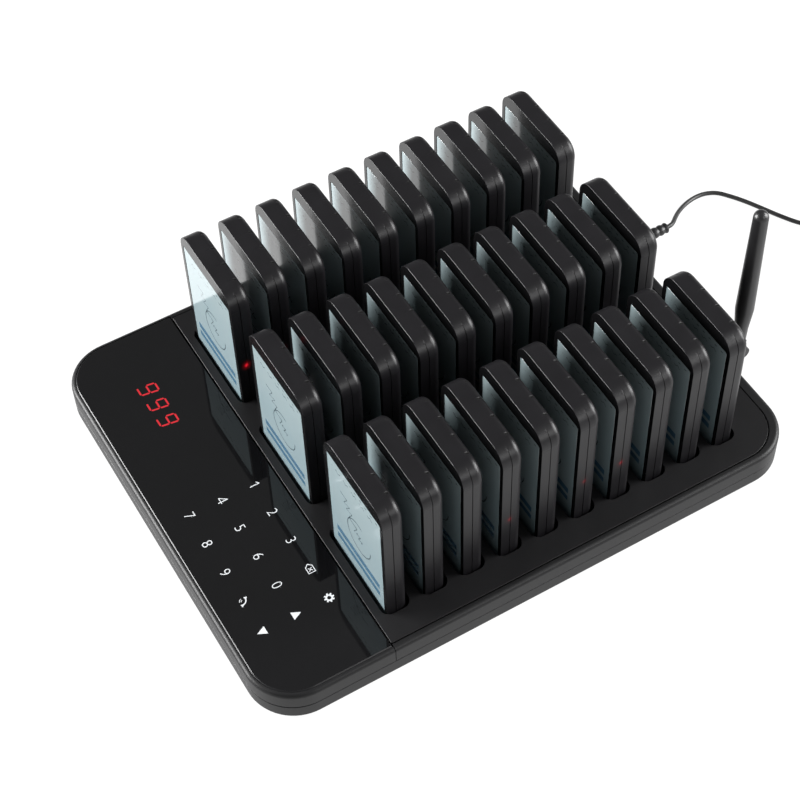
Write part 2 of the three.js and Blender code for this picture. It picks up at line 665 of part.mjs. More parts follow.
// The pieces that a pager is put together from.
function pagerPieces() {
  const boardInset = PAGER_WALL + BOARD_MARGIN;
  const boardBack = BOARD_FRONT + BOARD_THICKNESS;
  const partFront = boardBack + GAP;
  const battery = block(
    [-BATTERY.width / 2, partFront, BATTERY.rise],
    [BATTERY.width / 2, partFront + BATTERY.thickness, BATTERY.rise + BATTERY.height],
  );
  const motorY = partFront + MOTOR.radius;
  const motorStart = [MOTOR.side - MOTOR.length, motorY, MOTOR.rise];
  const motor = bar("x", MOTOR.radius, motorStart, MOTOR.length, 14);
  const shaftHole = bar("x", WEIGHT.shaft + GAP, [MOTOR.side - 3, motorY, MOTOR.rise], 6, 10);
  const shaft = bar("x", WEIGHT.shaft, [MOTOR.side - 2.4, motorY, MOTOR.rise], 3, 10);
  const disc = bar("x", WEIGHT.radius, [MOTOR.side + GAP, motorY, MOTOR.rise], WEIGHT.length, 14);
  const missingHalf = block(
    [MOTOR.side - 5, motorY - 5, MOTOR.rise + WEIGHT.shaft],
    [MOTOR.side + 10, motorY + 5, MOTOR.rise + 5],
  );
  const labelBack = LABEL_RECESS - GAP / 2;
  const lightStart = [PAGER_WIDTH / 2 - LIGHT.length - GAP, PAGER_SEAM, LIGHT.rise];
  return {
    pager_front_shell: [pagerFrontShell(), satinBlack()],
    pager_rear_shell: [pagerRearShell(), satinBlack()],
    pager_label: [labelBlock(labelBack - LABEL_THICKNESS, labelBack, 0), printedLabel()],
    pager_circuit_board: [
      pagerBlock({ inset: boardInset, front: BOARD_FRONT, rear: boardBack }),
      greenBoard(),
    ],
    pager_battery: [battery, material(0x9aa0a6, 0.4, 0.6)],
    pager_vibration_motor: [cut(motor, shaftHole), nickel()],
    pager_motor_weight: [join(cut(disc, missingHalf), shaft), nickel()],
    pager_buzzer: [
      bar("y", BUZZER.radius, [BUZZER.side, partFront, BUZZER.rise], BUZZER.thickness, 18),
      matteBlack(),
    ],
    pager_status_light: [
      bar("x", LIGHT.radius, lightStart, LIGHT.length, 12),
      material(0xff2a20, 0.2),
    ],
  };
}

// ---------------------------------------------------------------- assembly
add("lower_shell", lowerShell(), satinBlack());
add("panel_housing", panelHousing(), satinBlack());
add("touch_glass", glassOutline(SHELF_TOP + GAP, TOP, GLASS_RIM, SEAM - GAP), pianoGlass());
add("deck_housing", deckHousing(), satinBlack());
add("slot_deck", slotDeck(), matteBlack());
add("charging_board", chargingBoard(), greenBoard());
add("main_board", mainBoard(), greenBoard());
add("display_module", displayWindow(PANEL_BOARD_TOP + GAP, SHELF_TOP, 0), material(0x2a0a0c, 0.3));
add("dc_jack", dcJack(), matteBlack());
footPlaces.forEach(([x, y], i) => {
  const foot = bar("z", FOOT_RADIUS, [x, y, 0], FOOT_HEIGHT + FOOT_RECESS - GAP, 20);
  add(`foot_${["front_left", "rear_left", "front_right", "rear_right"][i]}`, foot, rubber());
});

add("antenna_socket", antennaSocket(), nickel());
add("antenna_knuckle", antennaKnuckle(), matteBlack());
add("antenna_rod", antennaRod(), matteBlack()).position.set(AERIAL_X, AERIAL_Y, PORT_HEIGHT);

add("dc_plug", dcPlug(), matteBlack());
add("cord_lead", cut(cordAlong(LEAD_POINTS, 24), coilRing(GAP)), rubber());
add("cord_coil", coilRing(0), rubber());
add("cord_tail", cut(cordAlong(TAIL_POINTS, 5), coilRing(GAP)), rubber());
add("power_adapter", powerAdapter(), matteBlack());
add("plug_head", plugHead(), nickel());

const plainPager = geometryOf(wholePager());
const openRow = ROWS.length - 1; // the front pager of this row is built from its pieces
ROWS.forEach((letter, row) => {
  for (let place = 0; place < PAGERS_PER_ROW; place++) {
    const at = [rowX(row), faceY(place), PAGER_BOTTOM];
    if (row === openRow && place === 0) {
      for (const [name, [shape, finish]] of Object.entries(pagerPieces())) {
        add(name, shape, finish).position.set(...at);
      }
    } else {
      const number = String(place + 1).padStart(2, "0");
      add(`pager_${letter}${number}`, plainPager.clone(), satinBlack()).position.set(...at);
    }
  }
});

export default set;
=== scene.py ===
# %% [markdown]
# # A restaurant paging set
#
# A paging set is a flat black charging base with a touch panel, thirty coaster pagers that stand in
# its slots, a folding aerial and a mains adapter on a thin lead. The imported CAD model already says
# where each piece is and how it moves. This notebook gives every piece its finished surface.
# Shapes are worked out in millimetres and go into their meshes in metres.

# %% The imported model
import json
import math

import bpy
import numpy as np
from mathutils import Matrix, Vector
from mathutils.geometry import delaunay_2d_cdt


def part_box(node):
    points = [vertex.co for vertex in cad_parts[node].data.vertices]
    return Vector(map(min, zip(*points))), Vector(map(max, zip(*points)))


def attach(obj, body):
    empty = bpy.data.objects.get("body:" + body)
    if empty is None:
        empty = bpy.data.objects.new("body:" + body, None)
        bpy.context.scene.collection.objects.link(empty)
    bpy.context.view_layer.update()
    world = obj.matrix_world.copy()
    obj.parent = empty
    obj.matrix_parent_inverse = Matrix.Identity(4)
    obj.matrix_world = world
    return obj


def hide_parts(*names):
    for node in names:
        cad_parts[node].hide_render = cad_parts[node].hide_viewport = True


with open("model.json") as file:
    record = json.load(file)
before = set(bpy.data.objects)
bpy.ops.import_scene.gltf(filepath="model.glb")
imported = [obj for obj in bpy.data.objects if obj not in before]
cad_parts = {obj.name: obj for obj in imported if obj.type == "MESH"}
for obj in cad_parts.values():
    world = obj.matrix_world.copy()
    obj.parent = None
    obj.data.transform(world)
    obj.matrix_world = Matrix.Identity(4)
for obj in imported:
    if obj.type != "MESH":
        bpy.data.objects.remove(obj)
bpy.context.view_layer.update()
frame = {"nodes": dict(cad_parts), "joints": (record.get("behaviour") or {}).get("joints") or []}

MM = 0.001


def box_mm(node):
    """The lowest and highest corner of a CAD node, in millimetres."""
    low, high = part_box(node)
    return np.array(low) / MM, np.array(high) / MM


DECK_LOW, DECK_HIGH = box_mm("slot_deck")
GLASS_LOW, GLASS_HIGH = box_mm("touch_glass")
BASE_LOW, BASE_HIGH = box_mm("lower_shell")
SEAM = box_mm("panel_housing")[1][1]
UPPER_BOTTOM = box_mm("panel_housing")[0][2]
TOP = DECK_HIGH[2]
print("base", BASE_LOW.round(2), BASE_HIGH.round(2), "seam", round(float(SEAM), 2))

# %% [markdown]
# ## Camera
#
# A product camera with a long lens stands high to the right of the panel and looks down at the set.
# It could be aimed with a Track To constraint, but its turn is worked out here, because the camera
# is also rolled a little, and a constraint would undo the roll.

# %% Camera
CAMERA_AZIMUTH = math.radians(61.497)
CAMERA_ELEVATION = math.radians(52.626)
CAMERA_ROLL = math.radians(-2.282)
CAMERA_DISTANCE = 944.86
CAMERA_LENS = 87.374
CAMERA_AIM = (-5.25, -16.99, TOP)


def camera_axes(azimuth, elevation, roll):
    """Right, up and back of the camera. Back points from the aim to the lens; right is level, then
    right and up turn about back by the roll."""
    level = math.cos(elevation)
    back = Vector((math.sin(azimuth) * level, -math.cos(azimuth) * level, math.sin(elevation)))
    right = Vector((0, 0, 1)).cross(back).normalized()
    up = back.cross(right)
    turned_right = math.cos(roll) * right + math.sin(roll) * up
    turned_up = math.cos(roll) * up - math.sin(roll) * right
    return turned_right, turned_up, back


def add_camera():
    """Makes the camera and its lens, turns it and makes it the one in use. Returns its place."""
    right, up, back = camera_axes(CAMERA_AZIMUTH, CAMERA_ELEVATION, CAMERA_ROLL)
    place = (Vector(CAMERA_AIM) + back * CAMERA_DISTANCE) * MM
    camera = bpy.data.objects.new("camera", bpy.data.cameras.new("camera"))
    bpy.context.scene.collection.objects.link(camera)
    camera.matrix_world = Matrix.Translation(place) @ Matrix((right, up, back)).transposed().to_4x4()
    camera.data.lens = CAMERA_LENS
    camera.data.clip_start = 0.01
    camera.data.clip_end = 50
    bpy.context.scene.camera = camera
    return place


print("camera at", [round(c, 3) for c in add_camera()])

# %% [markdown]
# ## Shapes as arrays
#
# Moulded parts are nearly all the same idea: an outline, and a profile carried along it. A bevel
# modifier on boxes would also round them, but it can't make grooves, recesses and lips in one go.
# So a Shape gathers rings of points (a loft), flat plates with holes, and end caps, then welds them.

# %% Shapes
class Shape:
    """A mesh being put together: points in millimetres, and faces that index them."""

    def __init__(self):
        self.points = np.zeros((0, 3))
        self.faces = []
        self.finishes = []

    def add(self, points, faces, finish=0):
        """Adds points and their faces. finish is the place of its material in the piece's list."""
        start = len(self.points)
        self.points = np.vstack([self.points, points])
        self.faces += [[start + i for i in face] for face in faces]
        self.finishes += [finish] * len(faces)
        return self

    def loft(self, rings, around=True, through=False, finish=0):
        """Quads between neighbouring rings. around closes each ring; through joins the last ring to
        the first. A ring seen from its far side, anticlockwise, followed by one further on, faces out."""
        count, columns = len(rings), len(rings[0])
        row = np.arange(count if through else count - 1)[:, None]
        column = np.arange(columns if around else columns - 1)[None, :]
        below, above = row * columns, (row + 1) % count * columns
        after = (column + 1) % columns
        corners = [below + column, below + after, above + after, above + column]
        quads = np.stack(corners, axis=-1).reshape(-1, 4)
        return self.add(np.vstack(rings), quads.tolist(), finish)

    def cap(self, ring, up=True, finish=0):
        """One flat face on a ring."""
        order = list(range(len(ring)))
        return self.add(ring, [order if up else order[::-1]], finish)

    def plate(self, outer, holes, height, up=True, finish=0):
        """A flat face with holes: a constrained triangulation of the loops, less its hole triangles."""
        loops = [outer, *holes]
        flat = np.vstack(loops)
        ends = np.cumsum([0] + [len(loop) for loop in loops])
        bounds = [list(range(a, b)) for a, b in zip(ends[:-1], ends[1:])]
        made = delaunay_2d_cdt([Vector(p) for p in flat], [], bounds, 1, 1e-7)
        source = np.array([origins[0] for origins in made[3]])
        triangles = [face for face, owners in zip(made[2], made[5]) if owners == [0]]
        if not up:
            triangles = [face[::-1] for face in triangles]
        return self.add(raised(flat[source], height), triangles, finish)

    def join(self, other, matrix=None, finish=None):
        """Adds another shape, turned and moved by a matrix."""
        points = other.points if matrix is None else moved(other.points, matrix)
        start = len(self.points)
        self.points = np.vstack([self.points, points])
        self.faces += [[start + i for i in face] for face in other.faces]
        self.finishes += other.finishes if finish is None else [finish] * len(other.faces)
        return self

    def welded(self):
        """The same shape with points that coincide made one, and without the faces that vanish."""
        rounded = np.round(self.points, 4)
        _, first, places = np.unique(rounded, axis=0, return_index=True, return_inverse=True)
        places = places.reshape(-1).tolist()
        made = Shape()
        made.points = self.points[first]
        for face, finish in zip(self.faces, self.finishes):
            corners = list(dict.fromkeys(places[i] for i in face))
            if len(corners) > 2:
                made.faces.append(corners)
                made.finishes.append(finish)
        return made


def raised(flat, height):
    """Points of a plane lifted to a height."""
    return np.column_stack([flat, np.full(len(flat), float(height))])


def moved(points, matrix):
    """Points turned and moved by a 4 by 4 matrix."""
    matrix = np.array(matrix)
    return points @ matrix[:3, :3].T + matrix[:3, 3]


def arc(centre, radius, start, end, steps):
    """Points at equal angles on a circle, in degrees, from start to end."""
    angle = np.radians(np.linspace(start, end, steps + 1))
    return np.column_stack([centre[0] + radius * np.cos(angle), centre[1] + radius * np.sin(angle)])


def rounded_loop(low, high, corner, steps=10, stops=()):
    """A rectangle with round corners, anticlockwise from its lower right, and the outward direction
    at each point. corner is one radius, or those of the lower right, upper right, upper left and
    lower left. stops are extra (side, place) points, side 0 to 3 being right, top, left, bottom."""
    radii = np.broadcast_to(corner, 4).astype(float)
    points, outward = [], []
    signs = [(1, -1), (1, 1), (-1, 1), (-1, -1)]
    for side, (radius, (sx, sy)) in enumerate(zip(radii, signs)):
        centre = ((high if sx > 0 else low)[0] - sx * radius, (high if sy > 0 else low)[1] - sy * radius)
        begin = -90 + 90 * side
        points.append(arc(centre, radius, begin, begin + 90, steps))
        outward.append(arc((0, 0), 1, begin, begin + 90, steps))
        places = sorted((place for s, place in stops if s == side), reverse=side in (1, 2))
        normal = outward[-1][-1]
        for place in places:
            fixed = centre[0] + radius if side == 0 else centre[0] - radius
            level = centre[1] + radius if side == 1 else centre[1] - radius
            points.append([[fixed, place] if side in (0, 2) else [place, level]])
            outward.append([normal])
    return np.vstack(points), np.vstack(outward)


def swept(points, outward, profile):
    """Rings of a profile of (inset, height) carried along an outline: each point minus inset times
    its outward direction, at that height."""
    return [raised(points - inset * outward, height) for inset, height in profile]


def lathe(profile, sides=32):
    """A turned shape about Z. The profile is (radius, height) from bottom to top; radius 0 closes."""
    angle = np.linspace(0, 2 * np.pi, sides, endpoint=False)
    circle = np.column_stack([np.cos(angle), np.sin(angle)])
    return Shape().loft([raised(radius * circle, height) for radius, height in profile])


def slab(outer, holes, low, high):
    """A flat piece between two heights: two plates, and a wall round each loop."""
    made = Shape().plate(outer, holes, high).plate(outer, holes, low, up=False)
    made.loft([raised(outer, low), raised(outer, high)])
    for hole in holes:
        made.loft([raised(hole, high), raised(hole, low)])
    return made


def quarter_round(radius, height, steps=6):
    """Profile of an edge rounded inwards at its top: (inset, height) pairs along a quarter circle."""
    angle = np.radians(np.linspace(0, 90, steps + 1))
    return [(radius - radius * math.cos(a), height - radius + radius * math.sin(a)) for a in angle]


def tube(path, radius, sides=12):
    """A round tube along a path, with flat ends. The section is carried without twist: at each step
    the last sideways direction is flattened against the new direction of travel."""
    travel = np.gradient(path, axis=0)
    travel /= np.linalg.norm(travel, axis=1)[:, None]
    side = np.cross(travel[0], [0, 0, 1])
    sideways = []
    for way in travel:
        side = side - way * (side @ way)
        side = side / np.linalg.norm(side)
        sideways.append(side)
    sideways = np.array(sideways)
    upward = np.cross(travel, sideways)
    angle = np.linspace(0, 2 * np.pi, sides, endpoint=False)[None, :, None]
    radii = np.broadcast_to(radius, len(path))[:, None, None]
    spoke = np.cos(angle) * sideways[:, None] + np.sin(angle) * upward[:, None]
    rings = list(path[:, None] + radii * spoke)
    made = Shape().loft(rings)
    return made.cap(rings[0], up=False).cap(rings[-1])


# %% Pieces
SHARP_DEGREES = 32


def add_piece(name, shape, finishes, body, replaces=(), place_from=None):
    """Puts a shape into the scene as one object that rides on a CAD body. Edges sharper than
    SHARP_DEGREES stay crisp. place_from stores each point's distance from a corner as attribute place."""
    shape = shape.welded()
    mesh = bpy.data.meshes.new(name)
    mesh.from_pydata((shape.points * MM).tolist(), [], shape.faces)
    for finish in finishes:
        mesh.materials.append(finish)
    mesh.polygons.foreach_set("material_index", shape.finishes)
    mesh.shade_smooth()
    mesh.set_sharp_from_angle(angle=math.radians(SHARP_DEGREES))
    if place_from is not None:
        local = mesh.attributes.new("place", "FLOAT_VECTOR", "POINT")
        local.data.foreach_set("vector", (shape.points - place_from).astype(np.float32).ravel())
    mesh.update()
    piece = bpy.data.objects.new(name, mesh)
    bpy.context.scene.collection.objects.link(piece)
    even = piece.modifiers.new("even_shading", "WEIGHTED_NORMAL")
    even.keep_sharp = True
    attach(piece, body)
    if replaces:
        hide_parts(*replaces)
    return piece


# %% [markdown]
# ## Finishes
#
# Each finish is one Principled surface whose colour, roughness and bump vary a little, as moulded
# plastic, film and plating do. Image textures would need files and seams, so every pattern is
# worked out by nodes. A Shade wraps an output socket, so that sums can be written as Python.

# %% Shader sums
class Shade:
    """A value that varies over a surface. Sums of shades add Math nodes."""

    def __init__(self, paint, socket):
        self.paint = paint
        self.socket = socket

    def sum(self, operation, *values):
        """A Math node over values."""
        return self.paint.node("ShaderNodeMath", *values, operation=operation)

    def __add__(self, other):
        return self.sum("ADD", self, other)

    def __sub__(self, other):
        return self.sum("SUBTRACT", self, other)

    def __mul__(self, other):
        return self.sum("MULTIPLY", self, other)

    def __abs__(self):
        return self.sum("ABSOLUTE", self)

    def root(self):
        """The square root."""
        return self.sum("SQRT", self)

    def or_less(self, other):
        """The value, but no more than other."""
        return self.sum("MINIMUM", self, other)

    def step(self, edge, soft):
        """1 where the value is below edge, 0 where it is above, with a ramp soft wide between."""
        return self.paint.node(
            "ShaderNodeMapRange", self, edge - soft / 2, edge + soft / 2, 1.0, 0.0, clamp=True
        )


class Paint:
    """One material under construction."""

    def __init__(self, name):
        self.material = bpy.data.materials.new(name)
        self.material.use_nodes = True
        self.tree = self.material.node_tree
        self.tree.nodes.clear()
        self.output = self.tree.nodes.new("ShaderNodeOutputMaterial")

    def node(self, kind, *values, output=0, links=None, **settings):
        """Adds any node: its settings first, then its sockets in order from values and by name from
        links. Returns one output as a Shade."""
        node = self.tree.nodes.new(kind)
        for key, value in settings.items():
            setattr(node, key, value)
        named = [(node.inputs[key], value) for key, value in (links or {}).items()]
        for socket, value in [*zip(node.inputs, values), *named]:
            self.connect(socket, value)
        return Shade(self, node.outputs[output])

    def connect(self, socket, value):
        """Links a shade to a socket, or sets the socket to a plain value."""
        if isinstance(value, Shade):
            self.tree.links.new(value.socket, socket)
        elif value is not None:
            socket.default_value = value

    def where(self):
        """The point on the object, in metres."""
        return self.node("ShaderNodeTexCoord", output="Object")

    def place(self):
        """The point on a pager or a cord, in millimetres, as its own attribute says: (x, y, z)."""
        vector = self.node("ShaderNodeAttribute", output="Vector", attribute_name="place")
        split = self.node("ShaderNodeSeparateXYZ", vector)
        return [Shade(self, split.socket.node.outputs[i]) for i in range(3)]

    def noise(self, size_mm, detail=2.0):
        """Cloudy noise from 0 to 1 whose features are about size_mm across."""
        links = {"Vector": self.where(), "Scale": 1 / (size_mm * MM), "Detail": detail}
        return self.node("ShaderNodeTexNoise", links=links)

    def wave(self, value):
        """The sine of a value."""
        return self.node("ShaderNodeMath", value, operation="SINE")

    def blend(self, share, colour, other):
        """One colour turning into another as share goes from 0 to 1."""
        node = self.node("ShaderNodeMix", data_type="RGBA").socket.node
        factor, first, second = node.inputs[0], node.inputs[6], node.inputs[7]
        for socket, value in ((factor, share), (first, colour), (second, other)):
            self.connect(socket, (*value, 1) if isinstance(value, tuple) else value)
        return Shade(self, node.outputs[2])

    def bump(self, height, depth_mm):
        """A normal tilted by the slope of a height from 0 to 1 that stands for depth_mm."""
        links = {"Strength": 1.0, "Distance": depth_mm * MM, "Height": height}
        return self.node("ShaderNodeBump", links=links)

    def finish(self, **sockets):
        """Ends the material in a Principled surface; underscores stand for spaces in socket names."""
        named = {key.replace("_", " "): value for key, value in sockets.items()}
        named = {key: (*value, 1) if isinstance(value, tuple) else value for key, value in named.items()}
        surface = self.node("ShaderNodeBsdfPrincipled", links=named)
        self.tree.links.new(surface.socket, self.output.inputs["Surface"])
        return self.material


# %% Plastics
def moulded_plastic(name, colour, rough, grain_mm, depth_mm, specular=0.5, glow=None, hollow=None):
    """Black moulding: fine spark-eroded grain as bump, cloudy colour, and roughness that wanders
    by a tenth. glow adds a lamp that shines through the wall; hollow marks notches with painted
    shade: near-black colour and higher roughness."""
    paint = Paint(name)
    grain = paint.noise(grain_mm, 3)
    cloud = paint.noise(14)
    light = tuple(min(1, c * 1.25) for c in colour)
    dark = tuple(c * 0.8 for c in colour)
    base, roughness = paint.blend(cloud, dark, light), cloud * 0.08 + grain * 0.08 + (rough - 0.08)
    if hollow:
        # Painted shade: the marked hollows turn near black, and their higher roughness dulls them too.
        inside = hollow(paint)
        base, roughness = paint.blend(inside, base, (0.001, 0.001, 0.001)), roughness + inside * 0.6
    sockets = {
        "Base_Color": base,
        "Roughness": roughness,
        "Normal": paint.bump(grain, depth_mm),
        "Specular_IOR_Level": specular,
    }
    if glow:
        sockets["Emission_Color"] = glow(paint)
        sockets["Emission_Strength"] = 1.0
    return paint.finish(**sockets)


# %% Colours
SHELL_BLACK = moulded_plastic("shell_black", (0.0085, 0.0085, 0.0090), 0.44, 0.5, 0.012, 0.26)
DECK_BLACK = moulded_plastic("deck_black", (0.0052, 0.0050, 0.0056), 0.5, 0.6, 0.014, 0.26)
SOCKET_BLACK = moulded_plastic("socket_black", (0.012, 0.012, 0.013), 0.4, 0.5, 0.01)
RUBBER_BLACK = moulded_plastic("foot_rubber", (0.024, 0.024, 0.024), 0.75, 0.7, 0.02)
AERIAL_BLACK = moulded_plastic("aerial_black", (0.010, 0.010, 0.0105), 0.36, 0.5, 0.008)

# %% [markdown]
# ## The lead
#
# A thin round two-core lead leaves the plug, drops to the table, runs in one loose bend and is
# wound into a neat tied coil before the adapter. It could be a curve with a bevel, but its length is
# known, so the points are worked out once and a tube is carried along them. The free stretch follows
# listed points; the coil's turns come from a formula.

# %% Lead: route
CORD_RADIUS = 1.2
LEAD_POINTS = [
    (-37.4, 164.5, 11.15), (-37.9, 167.4, 10.9), (-39.8, 170.4, 9.9), (-43.2, 174.2, 7.9),
    (-47, 179, 5.6), (-50.6, 184.8, 3.5), (-53.1, 190.8, 2.1), (-54.2, 196.4, 1.4),
    (-53.7, 201.9, 1.25), (-50.9, 207.5, 1.25), (-44.8, 212.5, 1.25), (-37.9, 216.9, 1.25),
    (-30.4, 220.9, 1.25), (-20, 226.2, 1.25), (-10.6, 231.9, 1.25), (-4.4, 237.8, 1.25),
    (-1.2, 244, 1.25), (-0.3, 249.4, 1.25), (-0.1, 254.5, 1.25),
]
TAIL_POINTS = [
    (17.3, 271.9, 8.6), (21.3, 272, 8.7), (25.5, 272.8, 9.6),
    (29.4, 274.4, 11.5), (33, 275.7, 13.1), (36.4, 276, 13.5), (60, 276, 13.5), (85, 276, 13.5),
    (110, 276, 13.5),
]
COIL_CENTRE = (17.3, 254.5)
COIL_OUTER = 17.375
COIL_LAYERS = 4
COIL_TURNS = 12.25
COIL_PITCH = 2.45
COIL_START_HEIGHT = 1.25
STEPS_PER_TURN = 48


def smooth_run(points, steps=6):
    """A centripetal Catmull-Rom spline: between two points it blends the lines through their
    neighbours, with knots spaced by the square root of the distance."""
    points = np.array(points, float)
    points = np.vstack([2 * points[0] - points[1], points, 2 * points[-1] - points[-2]])
    knots = np.concatenate([[0], np.cumsum(np.sqrt(np.linalg.norm(np.diff(points, axis=0), axis=1)))])
    made = []
    for i in range(1, len(points) - 2):
        t = np.linspace(knots[i], knots[i + 1], steps, endpoint=False)[:, None]

        def between(a, b, low, high):
            return ((knots[high] - t) * a + (t - knots[low]) * b) / (knots[high] - knots[low])

        first = between(points[i - 1], points[i], i - 1, i)
        second = between(points[i], points[i + 1], i, i + 1)
        third = between(points[i + 1], points[i + 2], i + 1, i + 2)
        made.append(
            between(between(first, second, i - 1, i + 1), between(second, third, i, i + 2), i, i + 1)
        )
    return np.vstack([*made, points[-2:-1]])


def coil_route():
    """Clockwise turns from the left side. Each layer spirals in or out by one pitch a turn, so the
    radius is a zigzag of the turns made, and the height climbs one pitch at each end of it."""
    turn = np.linspace(0, COIL_TURNS, round(COIL_TURNS * STEPS_PER_TURN) + 1)
    layer_turns = COIL_TURNS / COIL_LAYERS
    share = turn / layer_turns
    zigzag = 1 - np.abs(share % 2 - 1)
    radius = COIL_OUTER - zigzag * layer_turns * COIL_PITCH
    ends = np.arange(1, COIL_LAYERS) * layer_turns
    climb = np.clip((turn[:, None] - ends) / 0.2 + 0.5, 0, 1).sum(1)
    angle = np.pi - 2 * np.pi * turn
    return np.column_stack([
        COIL_CENTRE[0] + radius * np.cos(angle),
        COIL_CENTRE[1] + radius * np.sin(angle),
        COIL_START_HEIGHT + COIL_PITCH * climb,
    ])


cord_route = np.vstack([smooth_run(LEAD_POINTS)[:-1], coil_route(), smooth_run(TAIL_POINTS)[1:]])
cord_length = np.linalg.norm(np.diff(cord_route, axis=0), axis=1).sum()
print("lead", round(cord_length), "mm in", len(cord_route), "points")

# %% Lead: cord
CORD_BLACK = moulded_plastic("cord_black", (0.013, 0.013, 0.013), 0.45, 0.9, 0.02)
cord = add_piece(
    "adapter_lead", tube(cord_route, CORD_RADIUS), [CORD_BLACK], "base",
    replaces=("cord_lead", "cord_coil", "cord_tail"),
)


# %% Lead: tie
TIE_LOW, TIE_HIGH = 0.45, 10.0
TIE_WIDTH = 6.4


def tie_shape():
    """A flat band round the coil's section: a rounded rectangle of radius and height, between an
    inner and an outer loop, as wide as the band is."""
    slack, half = 0.2, TIE_WIDTH / 2
    coil_inner = COIL_OUTER - COIL_TURNS / COIL_LAYERS * COIL_PITCH
    inner_low = (coil_inner - CORD_RADIUS - slack, TIE_LOW)
    inner_high = (COIL_OUTER + CORD_RADIUS + slack, TIE_HIGH)
    loop, outward = rounded_loop(inner_low, inner_high, 1.6, 6)
    profile = [(0, -half), (-0.35, -half), (-0.45, -half + 0.15), (-0.45, half - 0.15),
               (-0.35, half), (0, half)]
    return Shape().loft(swept(loop, outward, profile), through=True)


# The loop's own X is the coil's radius and its Y is height, so the band stands up across the coil.
tie_frame = Matrix.Translation((*COIL_CENTRE, 0)) @ Matrix.Rotation(math.radians(-60), 4, "Z")
tie_frame = tie_frame @ Matrix.Rotation(math.radians(90), 4, "X")
tie = add_piece("cord_tie", Shape().join(tie_shape(), tie_frame), [RUBBER_BLACK], "base")

# %% [markdown]
# ## Plugs and adapter
#
# The barrel plug is turned: a round grip with shallow rings, then a strain relief whose ribs let it
# bend. The adapter is a plain two-part moulding with a plate that carries two flat blades.


# %% Plug
def ribbed(start, end, first, last, ribs, depth):
    """A taper from one radius to another with equal ribs: the radius dips by depth between them."""
    along = np.linspace(start, end, ribs * 6 + 1)
    share = (along - start) / (end - start)
    dip = depth * (0.5 - 0.5 * np.cos(2 * np.pi * ribs * share)) ** 2
    return list(zip(first + (last - first) * share - dip, along))


def plug_shape():
    """Profile of (radius, distance out of the wall): barrel, grip with rings, ribbed relief."""
    grip = ribbed(4.0, 12.0, 4.4, 4.3, 5, 0.28)
    relief = ribbed(15.2, 29.4, 3.1, 2.85, 4, 0.5)
    profile = [(0, -9.5), (2.6, -9.5), (2.75, -9.3), (2.75, 1), (3.9, 1), (4.2, 1.15), (4.4, 1.6), *grip]
    profile += [(4.2, 13.2), (3.7, 14.4), (3.2, 15.0), *relief, (2.4, 29.9), (0, 29.9)]
    return lathe(profile, 40)


JACK_X = (box_mm("dc_jack")[0][0] + box_mm("dc_jack")[1][0]) / 2
PORT_HEIGHT = (box_mm("dc_plug")[0][2] + box_mm("dc_plug")[1][2]) / 2
REAR = BASE_HIGH[1]
towards_rear = Matrix.Rotation(math.radians(-90), 4, "X")
plug_frame = Matrix.Translation((JACK_X, REAR, PORT_HEIGHT)) @ towards_rear
plug = add_piece("power_plug", Shape().join(plug_shape(), plug_frame), [SOCKET_BLACK],
                 "base", replaces=("dc_plug",))


# %% Adapter
def adapter_shape():
    """Two rounded shells that meet in a groove at mid height, and a ribbed relief on the left end."""
    low, high = box_mm("power_adapter")
    relief_length = 12
    low[0] += relief_length
    loop, outward = rounded_loop(low[:2], high[:2], 5, 8)
    middle = (low[2] + high[2]) / 2
    bottom = [(inset, low[2] + high[2] - height) for inset, height in quarter_round(2, high[2])][::-1]
    groove = [(0, middle - 0.35), (0.4, middle - 0.2), (0.4, middle + 0.2), (0, middle + 0.35)]
    rings = swept(loop, outward, bottom + groove + quarter_round(2, high[2]))
    made = Shape().loft(rings).cap(rings[0], up=False).cap(rings[-1])
    taper = lathe([(0, 0), (3.4, 0), *ribbed(0.5, relief_length, 3.3, 1.8, 4, 0.35), (0, relief_length)])
    frame_left = Matrix.Translation((low[0] + 0.2, (low[1] + high[1]) / 2, middle))
    return made.join(taper, frame_left @ Matrix.Rotation(math.radians(-90), 4, "Y"))


def plug_head_shape():
    """A rounded plate, and two blades with a hole near the tip, pointing along +X."""
    low, high = box_mm("plug_head")
    plate_thickness, blade_thickness, blade_height, spacing = 4, 1.5, 6.3, 12.7
    loop, outward = rounded_loop((low[1], low[2]), (high[1], high[2]), 3, 6)
    rings = swept(loop, outward, [(0, 0), (0, plate_thickness - 0.6), (0.6, plate_thickness)])
    made = Shape().loft(rings).cap(rings[0], up=False).cap(rings[-1])
    length = high[0] - low[0]
    middle = (low + high) / 2
    blade_low, blade_high = (plate_thickness - 0.1, -blade_height / 2), (length, blade_height / 2)
    blade, _ = rounded_loop(blade_low, blade_high, 1.2, 5)
    hole = arc((length - 4, 0), 1.5, 0, 345, 23)
    # The plate's X, Y and Z are the row's Y, Z and X.
    made.points = made.points[:, [2, 0, 1]] + (low[0], 0, 0)
    for side in (-1, 1):
        flat = slab(blade, [hole], -blade_thickness / 2, blade_thickness / 2)
        points = flat.points[:, [0, 2, 1]] * (1, -1, 1)
        points = points + (low[0], middle[1] + side * spacing / 2, middle[2])
        made.add(points, flat.faces, 1)
    return made


# %% Plating
def plated(name, colour, rough):
    """Nickel plating: bright metal with fine brushed streaks along the part and faint tarnish."""
    paint = Paint(name)
    streaks = paint.noise(0.35, 4)
    tarnish = paint.noise(6)
    warm = (colour[0] * 0.8, colour[1] * 0.74, colour[2] * 0.62)
    return paint.finish(
        Base_Color=paint.blend(tarnish, colour, warm), Metallic=1.0,
        Roughness=streaks * 0.12 + (rough - 0.06), Normal=paint.bump(streaks, 0.006),
    )


